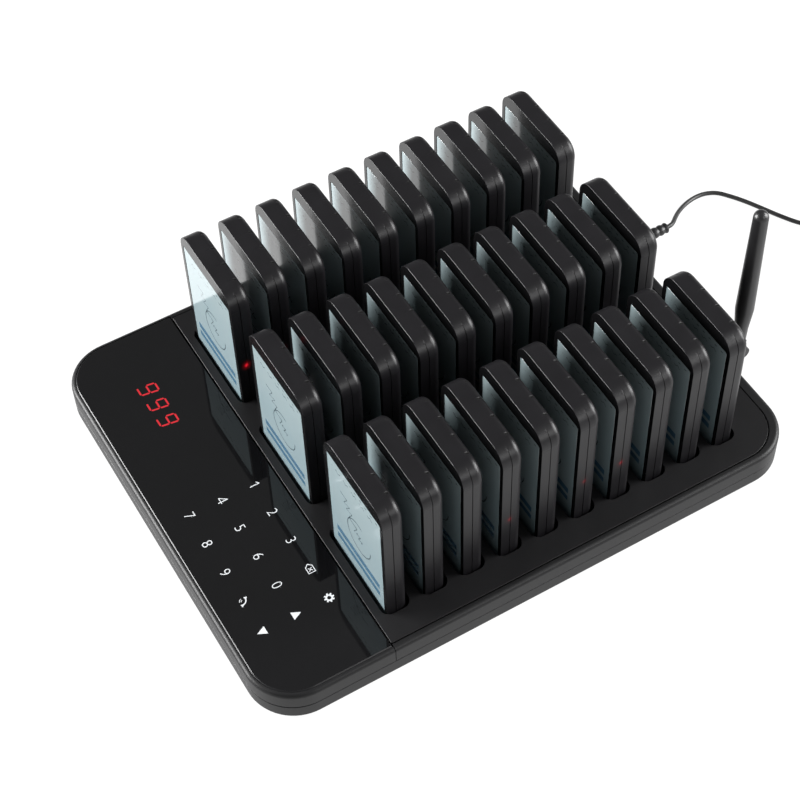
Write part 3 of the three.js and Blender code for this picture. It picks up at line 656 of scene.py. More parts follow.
NICKEL = plated("nickel_plate", (0.66, 0.64, 0.6), 0.28)
adapter = add_piece("mains_adapter", adapter_shape(), [SOCKET_BLACK], "base",
                    replaces=("power_adapter",))
blades = add_piece("adapter_blades", plug_head_shape(), [SOCKET_BLACK, NICKEL], "base",
                   replaces=("plug_head",))

# %% [markdown]
# ## Base
#
# The base is two mouldings that meet in a thin parting line half way up. The upper one is divided
# by the seam between the touch panel and the slot deck. All of them are the same outline with a
# different profile carried along it, so their corners and parting lines agree.

# %% Base: lower tray
BASE_CORNER = 24
BASE_EDGE = 2.2
BASE_WALL = 2.2
PARTING_GAP = 0.3
FOOT_RADIUS = 7
FOOT_RECESS = 1.0
SCREW_RADIUS = 2.6
SCREW_RECESS = 1.4
OUTLINE_LOW = BASE_LOW[:2]
OUTLINE_HIGH = BASE_HIGH[:2]
UNDERSIDE = BASE_LOW[2]
FLOOR_TOP = UNDERSIDE + 2
FOOT_NODES = ("foot_front_left", "foot_rear_left", "foot_front_right", "foot_rear_right")
feet = {name: (box_mm(name)[0] + box_mm(name)[1]) / 2 for name in FOOT_NODES}
pager_a = [box_mm(f"pager_a{n:02d}") for n in range(1, 11)]
ROW_X = [float((box_mm(f"pager_{row}02")[0][0] + box_mm(f"pager_{row}02")[1][0]) / 2) for row in "abc"]
FACE_Y = [float(low[1]) for low, high in pager_a]
PAGER_HIGH = pager_a[0][1]
PAGER_LOW = pager_a[0][0]
WIDTH, THICKNESS, HEIGHT = PAGER_HIGH - PAGER_LOW
PAGER_BOTTOM = PAGER_LOW[2]
ROW_END = FACE_Y[-1] + THICKNESS
lanes = [(ROW_X[0] + ROW_X[1]) / 2, (ROW_X[1] + ROW_X[2]) / 2]
screws = [(lane, FACE_Y[0] + share * (ROW_END - FACE_Y[0])) for lane in lanes for share in (0.12, 0.5, 0.9)]


def circle(centre, radius, steps=28):
    """A full circle as a loop, without its first point again at the end."""
    return arc(centre, radius, 0, 360 - 360 / steps, steps - 1)


def tray_shape():
    """From the underside up: a plate with round recesses for the feet and screws, a rounded bottom
    edge, the side up to the parting line, the lip, the inner wall and the floor."""
    loop, outward = rounded_loop(OUTLINE_LOW, OUTLINE_HIGH, BASE_CORNER, 16)
    parting = UPPER_BOTTOM - PARTING_GAP
    rounding = quarter_round(BASE_EDGE, UNDERSIDE + BASE_EDGE)[::-1]
    edge = [(inset, 2 * UNDERSIDE + BASE_EDGE - height) for inset, height in rounding]
    profile = [*edge, (0, parting - 0.3), (0.3, parting), (BASE_WALL, parting), (BASE_WALL, FLOOR_TOP)]
    rings = swept(loop, outward, profile)
    recesses = [(circle(centre[:2], FOOT_RADIUS + 0.4), FOOT_RECESS) for centre in feet.values()]
    recesses += [(circle(centre, SCREW_RADIUS + 0.5), SCREW_RECESS) for centre in screws]
    made = Shape().loft(rings).cap(rings[-1])
    made.plate(rings[0][:, :2], [hole for hole, depth in recesses], UNDERSIDE, up=False)
    for hole, depth in recesses:
        made.loft([raised(hole, UNDERSIDE + depth), raised(hole, UNDERSIDE)])
        made.cap(raised(hole, UNDERSIDE + depth), up=False)
    return made


add_piece("base_tray", tray_shape(), [SHELL_BLACK], "base", replaces=("lower_shell",))


# %% Base: feet
def foot_shape(centre):
    """A turned rubber disc with a bevelled rim and a shallow ring in its sole."""
    top = 2.7
    profile = [(0, 0.25), (3.6, 0.25), (4.0, 0.0), (6.3, 0.0), (6.8, 0.25),
               (FOOT_RADIUS, 0.8), (FOOT_RADIUS, top), (0, top)]
    return Shape().join(lathe(profile, 40), Matrix.Translation((centre[0], centre[1], 0)))


for name, centre in feet.items():
    add_piece(name.replace("foot", "rubber_foot"), foot_shape(centre), [RUBBER_BLACK], "base",
              replaces=(name,))


# %% Base: screws
HEAD_RADIUS = 2.2
HEAD_RISE = 0.5
CROSS_HALF = 0.42
CROSS_REACH = 1.5
CROSS_DEPTH = 0.7


def screw_shape(centre):
    """A domed head under a polar grid: the cross is pressed in where either coordinate is small."""
    ring = np.linspace(0.02, 1, 14)[:, None]
    spokes = np.linspace(0, 2 * np.pi, 48, endpoint=False)[None, :]
    x, y = HEAD_RADIUS * ring * np.cos(spokes), HEAD_RADIUS * ring * np.sin(spokes)
    arm = np.clip((CROSS_HALF - np.minimum(abs(x), abs(y))) / 0.12, 0, 1)
    arm = arm * np.clip((CROSS_REACH - np.hypot(x, y)) / 0.2, 0, 1)
    dome = HEAD_RISE * (1 - ring**2) - CROSS_DEPTH * arm
    down = np.stack([x, -y, -dome], axis=-1)
    edge = down[-1]
    base_ring = edge + (0, 0, 0.6)
    head = Shape().loft([base_ring, *down[::-1]]).cap(base_ring[::-1]).cap(down[0][::-1], up=False)
    return Shape().join(head, Matrix.Translation((*centre, UNDERSIDE + 0.75)))


screw_set = Shape()
for centre in screws:
    screw_set.join(screw_shape(centre))
add_piece("base_screws", screw_set, [NICKEL], "base")


# %% Base: panel frame and deck frame
RIM_DROP = 0.25
DECK_LOW_PLATE = TOP - 1.8
SHELF_TOP = GLASS_LOW[2] - 0.3
GLASS_INSET = GLASS_LOW[0] - OUTLINE_LOW[0]
DECK_GAP = 0.3
DECK_CORNER = 20


def horseshoe(low, high, corner, end, front, steps=16):
    """Three sides of a rounded rectangle, anticlockwise, open at the line y = end. front says which
    half it is. Returns points and outward directions."""
    centre_y = low[1] + corner if front else high[1] - corner
    first, turn = ((low[0], end), 180) if front else ((high[0], end), 0)
    last = (high[0], end) if front else (low[0], end)
    left, right = low[0] + corner, high[0] - corner
    centres = [(left, centre_y), (right, centre_y)] if front else [(right, centre_y), (left, centre_y)]
    points, outward = [[first]], [[(-1, 0) if front else (1, 0)]]
    for i, centre in enumerate(centres):
        points.append(arc(centre, corner, turn + 90 * i, turn + 90 * i + 90, steps))
        outward.append(arc((0, 0), 1, turn + 90 * i, turn + 90 * i + 90, steps))
    points.append([last])
    outward.append([(1, 0) if front else (-1, 0)])
    return np.vstack(points), np.vstack(outward)


def bar_along(rings):
    """A solid bar whose section is a column of rings, closed at both ends."""
    made = Shape().loft(rings, around=False, through=True)
    start = np.array([ring[0] for ring in rings])
    end = np.array([ring[-1] for ring in rings])
    return made.cap(start, up=True).cap(end, up=False)


def outer_lip():
    """The outside of an upper moulding: a hair of bevel at the parting line, the side, then the
    rounded top edge, a little lower than the glass and deck that it frames."""
    return [(0.25, UPPER_BOTTOM), (0, UPPER_BOTTOM + 0.25), *quarter_round(BASE_EDGE, TOP - RIM_DROP)]


def panel_frame_shape():
    """Outer lip, a narrow ledge beside the glass, the shelf under it, and back down inside."""
    points, outward = horseshoe(OUTLINE_LOW, OUTLINE_HIGH, BASE_CORNER, SEAM, True)
    inside = GLASS_INSET - 0.2
    lip = [pair for pair in outer_lip() if pair[0] < inside]
    shelf = SHELF_TOP - 1.9
    rest = [(inside, TOP - RIM_DROP - 0.02), (inside, SHELF_TOP), (7, SHELF_TOP), (7, shelf),
            (BASE_WALL, shelf), (BASE_WALL, UPPER_BOTTOM)]
    return bar_along(swept(points, outward, lip + rest))


def deck_frame_shape():
    """Outer lip, then a flat ledge out to the deck's own outline, whose margin is wider behind."""
    start = SEAM + DECK_GAP
    points, outward = horseshoe(OUTLINE_LOW, OUTLINE_HIGH, BASE_CORNER, start, False)
    inner, inner_out = horseshoe(DECK_LOW[:2], DECK_HIGH[:2], DECK_CORNER, start, False)
    top = TOP - RIM_DROP
    seat = DECK_LOW_PLATE - DECK_GAP
    rings = swept(points, outward, outer_lip())
    ledge = [(-DECK_GAP - 0.5, top), (-DECK_GAP - 0.1, top - 0.3), (-DECK_GAP, seat),
             (3, seat), (3, seat - 2)]
    rings += swept(inner, inner_out, ledge)
    rings += swept(points, outward, [(BASE_WALL, seat - 2), (BASE_WALL, UPPER_BOTTOM)])
    return bar_along(rings)


add_piece("panel_frame", panel_frame_shape(), [SHELL_BLACK], "base", replaces=("panel_housing",))
add_piece("deck_frame", deck_frame_shape(), [SHELL_BLACK], "base", replaces=("deck_housing",))

# %% [markdown]
# ## Slot deck
#
# The deck is one plate with thirty slots, and the walls of each slot run down to the charging
# board. A boolean of thirty boxes would do it, but it leaves ragged faces round each slot. A flat
# triangulation with holes, and a bevel and wall carried round each hole, welds into a clean solid.

# %% Slot deck
SLOT_SIDE_PLAY = 1.3
SLOT_FACE_PLAY = 1.8
SLOT_CORNER = 4.5
WELL_WALL = 1.4
WELL_BOTTOM = DECK_LOW[2]
EDGE_BEVEL = [(0, -0.13), (0.13, 0)]


def slot_loop(x, y):
    """The slot round a pager whose middle is x and whose face is at y."""
    low = (x - WIDTH / 2 - SLOT_SIDE_PLAY, y - SLOT_FACE_PLAY)
    high = (x + WIDTH / 2 + SLOT_SIDE_PLAY, y + THICKNESS + SLOT_FACE_PLAY)
    return rounded_loop(low, high, SLOT_CORNER, 7)


def row_loop(x):
    """The block of wells under one row."""
    reach = WIDTH / 2 + SLOT_SIDE_PLAY + WELL_WALL
    side = SLOT_FACE_PLAY + WELL_WALL
    low, high = (x - reach, FACE_Y[0] - side), (x + reach, ROW_END + side)
    return rounded_loop(low, high, SLOT_CORNER + WELL_WALL, 7)


def deck_shape():
    """The plate: its bevelled rim and its top with thirty mouths, then the wall of each slot, then
    the three blocks of wells from below, and the underside between them."""
    corners = (0.5, DECK_CORNER, DECK_CORNER, 0.5)
    outline, out = rounded_loop(DECK_LOW[:2], DECK_HIGH[:2], corners, 16)
    slots = [[slot_loop(x, y) for y in FACE_Y] for x in ROW_X]
    blocks = [row_loop(x) for x in ROW_X]
    every_slot = [slot for row in slots for slot in row]
    rim = [(inset, TOP + height) for inset, height in EDGE_BEVEL]
    side = swept(outline, out, [(0, DECK_LOW_PLATE), *rim])
    made = Shape().loft(side)
    mouth = EDGE_BEVEL[-1][0]
    made.plate(side[-1][:, :2], [points + mouth * away for points, away in every_slot], TOP)
    for points, away in every_slot:
        bevel = [(-inset, TOP + height) for inset, height in EDGE_BEVEL][::-1]
        made.loft(swept(points, away, [*bevel, (0, WELL_BOTTOM)]))
    for (block, _), row in zip(blocks, slots):
        made.plate(block, [points for points, _ in row], WELL_BOTTOM, up=False)
        made.loft([raised(block, WELL_BOTTOM), raised(block, DECK_LOW_PLATE)])
    return made.plate(outline, [block for block, _ in blocks], DECK_LOW_PLATE, up=False)


deck = add_piece("slot_plate", deck_shape(), [DECK_BLACK], "base", replaces=("slot_deck",))
print("slot plate", len(deck.data.polygons), "faces")

# %% [markdown]
# ## Touch glass
#
# The panel is a sheet of float glass painted black on its back, with a polished bevel. From outside
# it is a black mirror, so a dark, very smooth surface stands for it, with faint finger smudges in
# the roughness. The key legends and the digits lie in it, lit from below.

# %% Touch glass
def black_glass():
    """Smudges: two sizes of cloud multiplied, so that they gather in patches."""
    paint = Paint("black_glass")
    smudge = paint.noise(22) * paint.noise(5, 3)
    return paint.finish(
        Base_Color=paint.blend(smudge, (0.0028, 0.0028, 0.0032), (0.0042, 0.0042, 0.0046)),
        Roughness=smudge * 0.09 + 0.012, IOR=1.5, Coat_Weight=0.0,
    )


BLACK_GLASS = black_glass()
GROUND_EDGE = moulded_plastic("ground_edge", (0.014, 0.014, 0.015), 0.3, 0.4, 0.01, 0.3)
GLASS_BEVEL = 0.55


def glass_shape():
    """A sheet with two round corners in front and a ground bevel, which is the second finish."""
    corners = (21.6, 0.4, 0.4, 21.6)
    loop, outward = rounded_loop(GLASS_LOW[:2], GLASS_HIGH[:2], corners, 20)
    low, high = GLASS_LOW[2], GLASS_HIGH[2]
    profile = [(0.15, low), (0, low + 0.15), (0, high - GLASS_BEVEL), (GLASS_BEVEL, high)]
    rings = swept(loop, outward, profile)
    made = Shape().loft(rings[:3]).loft(rings[2:], finish=1)
    return made.cap(rings[0], up=False).cap(rings[-1])


add_piece("touch_panel_glass", glass_shape(), [BLACK_GLASS, GROUND_EDGE], "base",
          replaces=("touch_glass",))

# %% [markdown]
# ## Digits and key legends
#
# The display shows three seven-segment digits, and the keys are numbers and plain signs. The digits
# are built from one slanted segment repeated. The key numbers use Blender's own plain font, made a
# mesh before it is placed; the other signs are outlines worked out from arcs and lines.

# %% Display digits
DIGIT_SIZE = (6.0, 10.0)
SEGMENT_WIDTH = 0.9
DIGIT_SLANT = math.tan(math.radians(8))
SEGMENTS = {"a": (0, 1, 0), "b": (1, 0.5, 90), "c": (1, -0.5, 90), "d": (0, -1, 0),
            "e": (-1, -0.5, 90), "f": (-1, 0.5, 90), "g": (0, 0, 0)}
NINE = "abcdfg"


def segment(length, width):
    """A bar with pointed ends, flat in XY."""
    x, y = length / 2, width / 2
    return np.array([(-x + y, -y), (x - y, -y), (x, 0), (x - y, y), (-x + y, y), (-x, 0)])


def digit_shape(lit, centre, low, high):
    """Bars at the middles of the seven sides, each turned upright or level, then slanted: x grows
    with y."""
    wide, tall = DIGIT_SIZE[0] / 2 - SEGMENT_WIDTH / 2, DIGIT_SIZE[1] / 2 - SEGMENT_WIDTH / 2
    made = Shape()
    for name in lit:
        across, up, turn = SEGMENTS[name]
        length = 2 * wide if turn == 0 else tall
        bar = segment(length - 0.4, SEGMENT_WIDTH)
        if turn:
            bar = bar[:, ::-1] * (1, -1)
        bar = bar + (across * wide, up * tall)
        bar = bar + np.column_stack([bar[:, 1] * DIGIT_SLANT, np.zeros(len(bar))]) + centre
        made.join(slab(bar, [], low, high))
    return made


def lit_red():
    """Light-emitting segments: a red glow that is a little paler at its hottest."""
    paint = Paint("lit_red")
    hot = paint.noise(1.2)
    return paint.finish(
        Base_Color=(0.03, 0.003, 0.004), Roughness=0.4, Emission_Strength=1.0,
        Emission_Color=paint.blend(hot, (0.62, 0.012, 0.02), (0.78, 0.02, 0.035)),
    )


LIT_RED = lit_red()
display_low, display_high = box_mm("display_module")
display_centre = (display_low + display_high)[:2] / 2
DIGIT_SPACING = 10.95
PRINT_LOW, PRINT_HIGH = TOP - 0.02, TOP + 0.02
digits = Shape()
for step in (-1, 0, 1):
    digits.join(digit_shape(NINE, display_centre + (step * DIGIT_SPACING, 0), PRINT_LOW, PRINT_HIGH))
add_piece("display_digits", digits, [LIT_RED], "base", replaces=("display_module",))

# %% Key legends
KEY_LEFT = 2.3
KEY_REAR = FACE_Y[0] - 18.3
KEY_ACROSS = 18.2
KEY_DOWN = 17.1
KEY_HEIGHT = 5.0
NUMERAL_THINNING = -0.014
NUMERAL_NARROWING = 0.94


def numeral(text, centre):
    """A number in the plain font, made a mesh and moved so that its own middle is at centre."""
    curve = bpy.data.curves.new("numeral", "FONT")
    curve.body = text
    curve.size = 1
    curve.offset = NUMERAL_THINNING
    holder = bpy.data.objects.new("numeral", curve)
    bpy.context.scene.collection.objects.link(holder)
    mesh = bpy.data.meshes.new_from_object(holder.evaluated_get(bpy.context.evaluated_depsgraph_get()))
    flat = np.array([vertex.co for vertex in mesh.vertices])
    faces = [list(face.vertices) for face in mesh.polygons]
    bpy.data.objects.remove(holder)
    low, high = flat.min(0), flat.max(0)
    scaled = (flat - (low + high) / 2) * KEY_HEIGHT / (high - low)[1]
    return Shape().add(scaled * (NUMERAL_NARROWING, 1, 0) + (*centre, PRINT_HIGH), faces)


def stroke(points, width):
    """A flat line of some width along points: each point moved half a width to either side, square
    to the direction of travel."""
    points = np.array(points, float)
    travel = np.gradient(points, axis=0)
    travel /= np.linalg.norm(travel, axis=1)[:, None]
    half_width = np.broadcast_to(width, len(points))[:, None] / 2
    side = np.column_stack([-travel[:, 1], travel[:, 0]]) * half_width
    return np.vstack([points - side, (points + side)[::-1]])


def sign(outer, holes, centre):
    """A printed sign: outline and holes about its own middle, put at centre."""
    holes = [hole + centre for hole in holes]
    return slab(outer + centre, holes, PRINT_LOW, PRINT_HIGH)


def gear_sign(centre):
    """A wheel whose radius steps between root and tip eight times, with a round hole."""
    angle = np.linspace(0, 2 * np.pi, 96, endpoint=False)
    radius = 2.15 + 0.35 * np.clip(np.cos(8 * angle) * 3, -1, 1)
    outer = np.column_stack([radius * np.cos(angle), radius * np.sin(angle)])
    return sign(outer, [circle((0, 0), 0.95, 20)], centre)


def arrow_sign(centre, up):
    """A filled triangle that points up or down."""
    return sign(np.array([(-2.2, -1.8), (2.2, -1.8), (0, 2.6)]) * (1 if up else -1), [], centre)


def erase_sign(centre):
    """A tag pointing left with a cross in it."""
    tag = np.array([(-2.9, 0), (-1.2, -1.9), (2.6, -1.9), (2.6, 1.9), (-1.2, 1.9)])
    inner = np.array([(-2.3, 0), (-1.0, -1.5), (2.2, -1.5), (2.2, 1.5), (-1.0, 1.5)])
    made = sign(tag, [inner], centre)
    for lean in (-1, 1):
        made.join(sign(stroke([(-0.35, -0.9 * lean), (1.45, 0.9 * lean)], 0.38), [], centre))
    return made


def handset_sign(centre):
    """A curved bar, thick at both ends, and two sound waves."""
    along = np.linspace(0, 1, 33)
    bar = np.column_stack([1.7 - 3.6 * along, 3.6 * along - 1.9])
    bar = bar + np.outer(np.sin(np.pi * along), (0.8, 0.8))
    width = 0.6 + 0.9 * np.clip(np.abs(along - 0.5) * 8 - 2.6, 0, 1)
    made = sign(stroke(bar, width), [], centre)
    for radius in (1.1, 1.9):
        made.join(sign(stroke(arc((0.0, 0.0), radius, 195, 255, 10), 0.34), [], centre))
    return made


def one_sign(centre):
    """A plain figure one: an upright with a flag."""
    outline = [(0.1, -2.5), (0.6, -2.5), (0.6, 2.5), (0.2, 2.5), (-1.1, 1.5), (-1.1, 0.95), (0.1, 1.75)]
    return sign(np.array(outline), [], centre)


def four_sign(centre):
    """A plain figure four: an upright, a bar and a slope, round a three-cornered hole."""
    outline = [(0.55, -2.5), (1.05, -2.5), (1.05, -1.3), (1.8, -1.3), (1.8, -0.85), (1.05, -0.85),
               (1.05, 2.5), (0.6, 2.5), (-1.8, -0.85), (-1.8, -1.3), (0.55, -1.3)]
    hole = [(0.55, -0.85), (0.55, 1.7), (-1.25, -0.85)]
    return sign(np.array(outline), [np.array(hole)], centre)


KEYS = ["123<*", "4560^", "789cv"]
SIGNS = {"1": one_sign, "4": four_sign, "<": erase_sign, "*": gear_sign, "c": handset_sign,
         "^": lambda centre: arrow_sign(centre, True), "v": lambda centre: arrow_sign(centre, False)}
legends = Shape()
for line, keys in enumerate(KEYS):
    for column, key in enumerate(keys):
        centre = np.array([KEY_LEFT + column * KEY_ACROSS, KEY_REAR - line * KEY_DOWN])
        legends.join(SIGNS[key](centre) if key in SIGNS else numeral(key, centre))


def lit_white():
    """Printed windows in the black paint, lit from behind: white, dimming a little in patches."""
    paint = Paint("lit_white")
    dim = paint.noise(3)
    return paint.finish(
        Base_Color=(0.4, 0.41, 0.42), Roughness=0.3, Emission_Strength=1.0,
        Emission_Color=paint.blend(dim, (0.36, 0.37, 0.38), (0.5, 0.51, 0.52)),
    )


LIT_WHITE = lit_white()
add_piece("key_legends", legends, [LIT_WHITE], "base")
print("legends", len(legends.faces), "faces")

# %% [markdown]
# ## Pagers
#
# A pager is two shells that meet in a groove round the sides. The front is flat with a crisp bevel,
# and carries a printed film in a shallow recess; the back is softly rounded. All thirty are the same
# outline and profile, so the arrays are worked out once and moved to each slot. The front pager of
# the right row is made as its separate shells, because its board and motor are inside.

# %% Pager case
PAGER_CORNER = 9
FRONT_EDGE = 0.09
REAR_EDGE = 3.4
WALL = 1.5
SEAM_DEPTH = 4.5
SEAM_GAP = 0.3
SEAM_HEIGHT = THICKNESS - SEAM_DEPTH - SEAM_GAP / 2
FILM_LOW, FILM_HIGH = box_mm("pager_label")
film_origin = np.array([ROW_X[2] - WIDTH / 2, FACE_Y[0], PAGER_BOTTOM])
FILM_LOW, FILM_HIGH = FILM_LOW - film_origin, FILM_HIGH - film_origin
RECESS = 0.9
CROSS_SEAM = FILM_HIGH[2] - 1.0
NOTCHES = [WIDTH / 2 + x for x in (-19, -7.8, 3.4, 14.6)]
NOTCH_HALF = 0.5
NOTCH_HEIGHT = 2.2


def notch_stops():
    """Columns of points where the surface is pressed in: the cross seam on both sides and the
    little notches along the top."""
    seam = [CROSS_SEAM + d for d in (-0.22, -0.09, 0.09, 0.22)]
    tops = [x + d for x in NOTCHES for d in (-2 * NOTCH_HALF, -NOTCH_HALF, 0, NOTCH_HALF, 2 * NOTCH_HALF)]
    straight = [x for x in tops if PAGER_CORNER < x < WIDTH - PAGER_CORNER]
    return [(0, z) for z in seam] + [(2, z) for z in seam] + [(1, x) for x in straight]


def pressed_in(points, outward, height):
    """How far each point of a ring at some height sinks: the seam between the shells, which fades
    out along the top; the cross seam in the front shell's sides; the notches in the rear edge."""
    x, z = points[:, 0], points[:, 1]
    in_groove = abs(height - SEAM_HEIGHT) < 0.15
    groove = 0.4 * in_groove * np.clip(1.6 * np.abs(outward[:, 0]) - 0.6, 0, 1)
    on_side = (np.abs(outward[:, 0]) > 0.99) & (np.abs(z - CROSS_SEAM) < 0.1)
    in_front = height > SEAM_HEIGHT + 0.15
    near = np.min(np.abs(x[:, None] - np.array(NOTCHES)), axis=1)
    on_top = z > HEIGHT - 0.5
    at_notch = np.clip(1.5 - near / NOTCH_HALF, 0, 1) * on_top
    on_rear_edge = math.exp(-(((height - NOTCH_HEIGHT) / 0.8) ** 2))
    return groove + 0.07 * on_side * in_front + 0.8 * at_notch * on_rear_edge


def case_rings(profile):
    """Rings of (inset, height) round the pager's outline, pressed in where it is marked. Heights
    run from the rear face."""
    loop, outward = rounded_loop((0, 0), (WIDTH, HEIGHT), PAGER_CORNER, 12, notch_stops())
    rings = []
    for inset, height in profile:
        sink = pressed_in(loop, outward, height)
        rings.append(raised(loop - (inset + sink)[:, None] * outward, height))
    return rings


def rear_profile():
    """Rear face, a wide round, the side, and half of the groove between the shells."""
    angle = np.radians(np.linspace(0, 90, 9))
    edge = [(REAR_EDGE * (1 - math.sin(a)), REAR_EDGE * (1 - math.cos(a))) for a in angle]
    return [(REAR_EDGE + 3, 0), *edge, (0, SEAM_HEIGHT - 0.2), (0, SEAM_HEIGHT - 0.13), (0, SEAM_HEIGHT)]


def front_profile():
    """The other half of the groove, the side, and a crisp bevel up to the flat front."""
    bevel = [(0, THICKNESS - FRONT_EDGE), (FRONT_EDGE, THICKNESS)]
    return [(0, SEAM_HEIGHT), (0, SEAM_HEIGHT + 0.13), (0, SEAM_HEIGHT + 0.2), *bevel]


def add_front(made, edge_ring):
    """The flat front round the recess, the recess's wall and its floor."""
    low, high = FILM_LOW[[0, 2]] - 0.3, FILM_HIGH[[0, 2]] + 0.3
    recess, _ = rounded_loop(low, high, 1.3, 5)
    floor = raised(recess, THICKNESS - RECESS)
    made.plate(edge_ring[:, :2], [recess], THICKNESS, finish=1)
    return made.loft([raised(recess, THICKNESS), floor], finish=1).cap(floor, finish=1)


def whole_case():
    """The closed case: rear profile, a shallow groove, front profile, and the recessed front."""
    rings = case_rings(rear_profile() + front_profile()[1:])
    made = Shape().cap(rings[0], up=False).loft(rings)
    return add_front(made, rings[-1])


def rear_case():
    """The rear shell by itself, hollow: outside, the lip, the inner wall and the inner face."""
    rings = case_rings(rear_profile() + [(WALL, SEAM_HEIGHT), (WALL, WALL)])
    return Shape().cap(rings[0], up=False).loft(rings).cap(rings[-1])


def front_case():
    """The front shell by itself, hollow behind the recess."""
    inner = THICKNESS - RECESS - WALL + SEAM_GAP
    rings = case_rings([(WALL, inner), (WALL, SEAM_HEIGHT)] + front_profile())
    made = Shape().cap(rings[0], up=False).loft(rings)
    return add_front(made, rings[-1])


def film_shape():
    """The printed film: a thin sheet with nearly square corners."""
    loop, outward = rounded_loop(FILM_LOW[[0, 2]], FILM_HIGH[[0, 2]], 1.0, 5)
    back, front = THICKNESS - FILM_HIGH[1], THICKNESS - FILM_LOW[1]
    rings = swept(loop, outward, [(0, back), (0, front - 0.1), (0.1, front)])
    return Shape().cap(rings[0], up=False).loft(rings).cap(rings[-1])


# %% Pager finishes
LAMP_X, LAMP_Y, LAMP_Z = 51.7, 4.2, 39.5


def lamp_glow(paint):
    """Red light through the wall at the status lamp: a bright core and a wide faint halo, by the
    distance from the lamp. Attribute lamp says how brightly each pager's lamp is lit."""
    x, y, z = paint.place()
    dx, dy, dz = (x - LAMP_X) * 0.6, y - LAMP_Y, (z - LAMP_Z) * 0.75
    far = (dx * dx + dy * dy + dz * dz).root()
    core = far.step(0.6, 1.2)
    halo = far.step(1.7, 3.2)
    lit = paint.node("ShaderNodeAttribute", output="Fac", attribute_name="lamp")
    return paint.blend((core * 0.9 + halo * halo * 0.25) * lit, (0.0, 0.0, 0.0), (1.0, 0.012, 0.03))


def notch_shade_mask(paint):
    """1 in the four notches along the top of the rear edge, which have shade painted into them. They
    are evenly spaced, so the distance from the nearest one is x folded to and fro."""
    x, y, z = paint.place()
    half_spacing = (NOTCHES[1] - NOTCHES[0]) / 2
    from_notch = paint.node("ShaderNodeMath", x - NOTCHES[0], half_spacing, operation="PINGPONG")
    across = from_notch.step(0.55, 0.15)
    return across * abs(y - (THICKNESS - NOTCH_HEIGHT)).step(1.1, 0.2) * abs(z - HEIGHT).step(1.3, 0.2)


# The notches along the top of the rear edge have shade painted into them.
PAGER_BLACK = moulded_plastic("pager_black", (0.0062, 0.0058, 0.0068), 0.38, 0.45, 0.01, 0.32,
                              glow=lamp_glow, hollow=notch_shade_mask)
BEZEL_BLACK = moulded_plastic("bezel_black", (0.0035, 0.0035, 0.0038), 0.2, 0.4, 0.004, 0.4)


# Heights and half widths of the print, in millimetres from the pager's lower left corner.
RING_CENTRE = (WIDTH / 2 + 2.5, 44.0)
RING_RADIUS = 10.2
MARKS_HEIGHT = 77.6
BROKEN_LINE_HEIGHT = 74.2
RULES = [(26.9, 1.9), (21.1, 1.7)]


def line_mask(value, centre, half, soft=0.25):
    """1 on a stripe about centre."""
    return abs(value - centre).step(half, soft)


def printed_film():
    """Pale gloss film that turns bluer towards the bottom: a thin ring with a pen-like squiggle in
    it, rows of small marks at the top and two blue rules low down. All of it is drawn by the
    distance to lines and circles in millimetres."""
    paint = Paint("printed_film")
    x, _, z = paint.place()
    middle = WIDTH / 2
    ring_x, ring_z = x - RING_CENTRE[0], z - RING_CENTRE[1]
    away = (ring_x * ring_x + ring_z * ring_z).root()
    right_open = (ring_x * 0.8 + ring_z * 0.6).step(8.2, 0.3)
    ring = line_mask(away, RING_RADIUS, 0.3, 0.3) * right_open
    along, across = ring_z * 0.85 - ring_x * 0.53, ring_z * 0.53 + ring_x * 0.85
    script = paint.wave(along * 1.25 + paint.wave(along * 0.4) * 1.5) * 2.1
    pen = line_mask(across - script, -1.0, 0.45, 0.35) * abs(along - 13).step(10.5, 0.5)
    knot = line_mask(across - paint.wave(along * 2.3) * 1.3, 0.6, 0.5, 0.4) * abs(along).step(2.6, 0.4)
    dash = paint.node("ShaderNodeMath", x, 2.3, operation="PINGPONG").step(0.75, 0.3)
    broken = paint.wave(x * 0.9).step(0.35, 0.2)
    marks = line_mask(z, MARKS_HEIGHT, 0.3, 0.3) * dash * abs(x - middle - 9).step(12, 0.3)
    uneven = line_mask(z - paint.wave(x * 1.9) * 0.5, BROKEN_LINE_HEIGHT, 0.25, 0.3)
    upper = uneven * broken * abs(x - middle).step(19, 0.3)
    inside = abs(x - middle - 0.5).step(19.3, 0.4)
    (upper_rule, upper_half), (lower_rule, lower_half) = RULES
    rules = (line_mask(z, upper_rule, upper_half) + line_mask(z, lower_rule, lower_half)) * inside
    fade = z.step(50, 90)
    ground = paint.blend(fade, (0.235, 0.29, 0.30), (0.17, 0.245, 0.275))
    tint = paint.blend(paint.noise(20) * 0.5, ground, (0.255, 0.30, 0.305))
    faint = paint.blend((ring * 0.8 + pen * 0.8 + knot + marks * 0.7 + upper * 0.7).or_less(1.0),
                        tint, (0.02, 0.036, 0.045))
    colour = paint.blend(rules.or_less(1.0), faint, (0.05, 0.115, 0.175))
    return paint.finish(
        Base_Color=colour, Roughness=paint.noise(3) * 0.05 + 0.1, Specular_IOR_Level=0.5,
        Coat_Weight=0.3, Coat_Roughness=0.05, Normal=paint.bump(paint.noise(9), 0.02),
    )


PRINTED_FILM = printed_film()

# %% Pagers in their slots
LAMPS = {"a01": 0.8, "a02": 0.1, "b03": 0.12, "c04": 0.16, "c06": 0.14, "c07": 0.22}


def to_slot(row, place):
    """From the pager's own frame (X across, Y up, Z from the rear face) to its slot."""
    corner = (ROW_X[row] - WIDTH / 2, FACE_Y[place] + THICKNESS, PAGER_BOTTOM)
    return Matrix.Translation(corner) @ Matrix(((1, 0, 0, 0), (0, 0, -1, 0), (0, 1, 0, 0), (0, 0, 0, 1)))


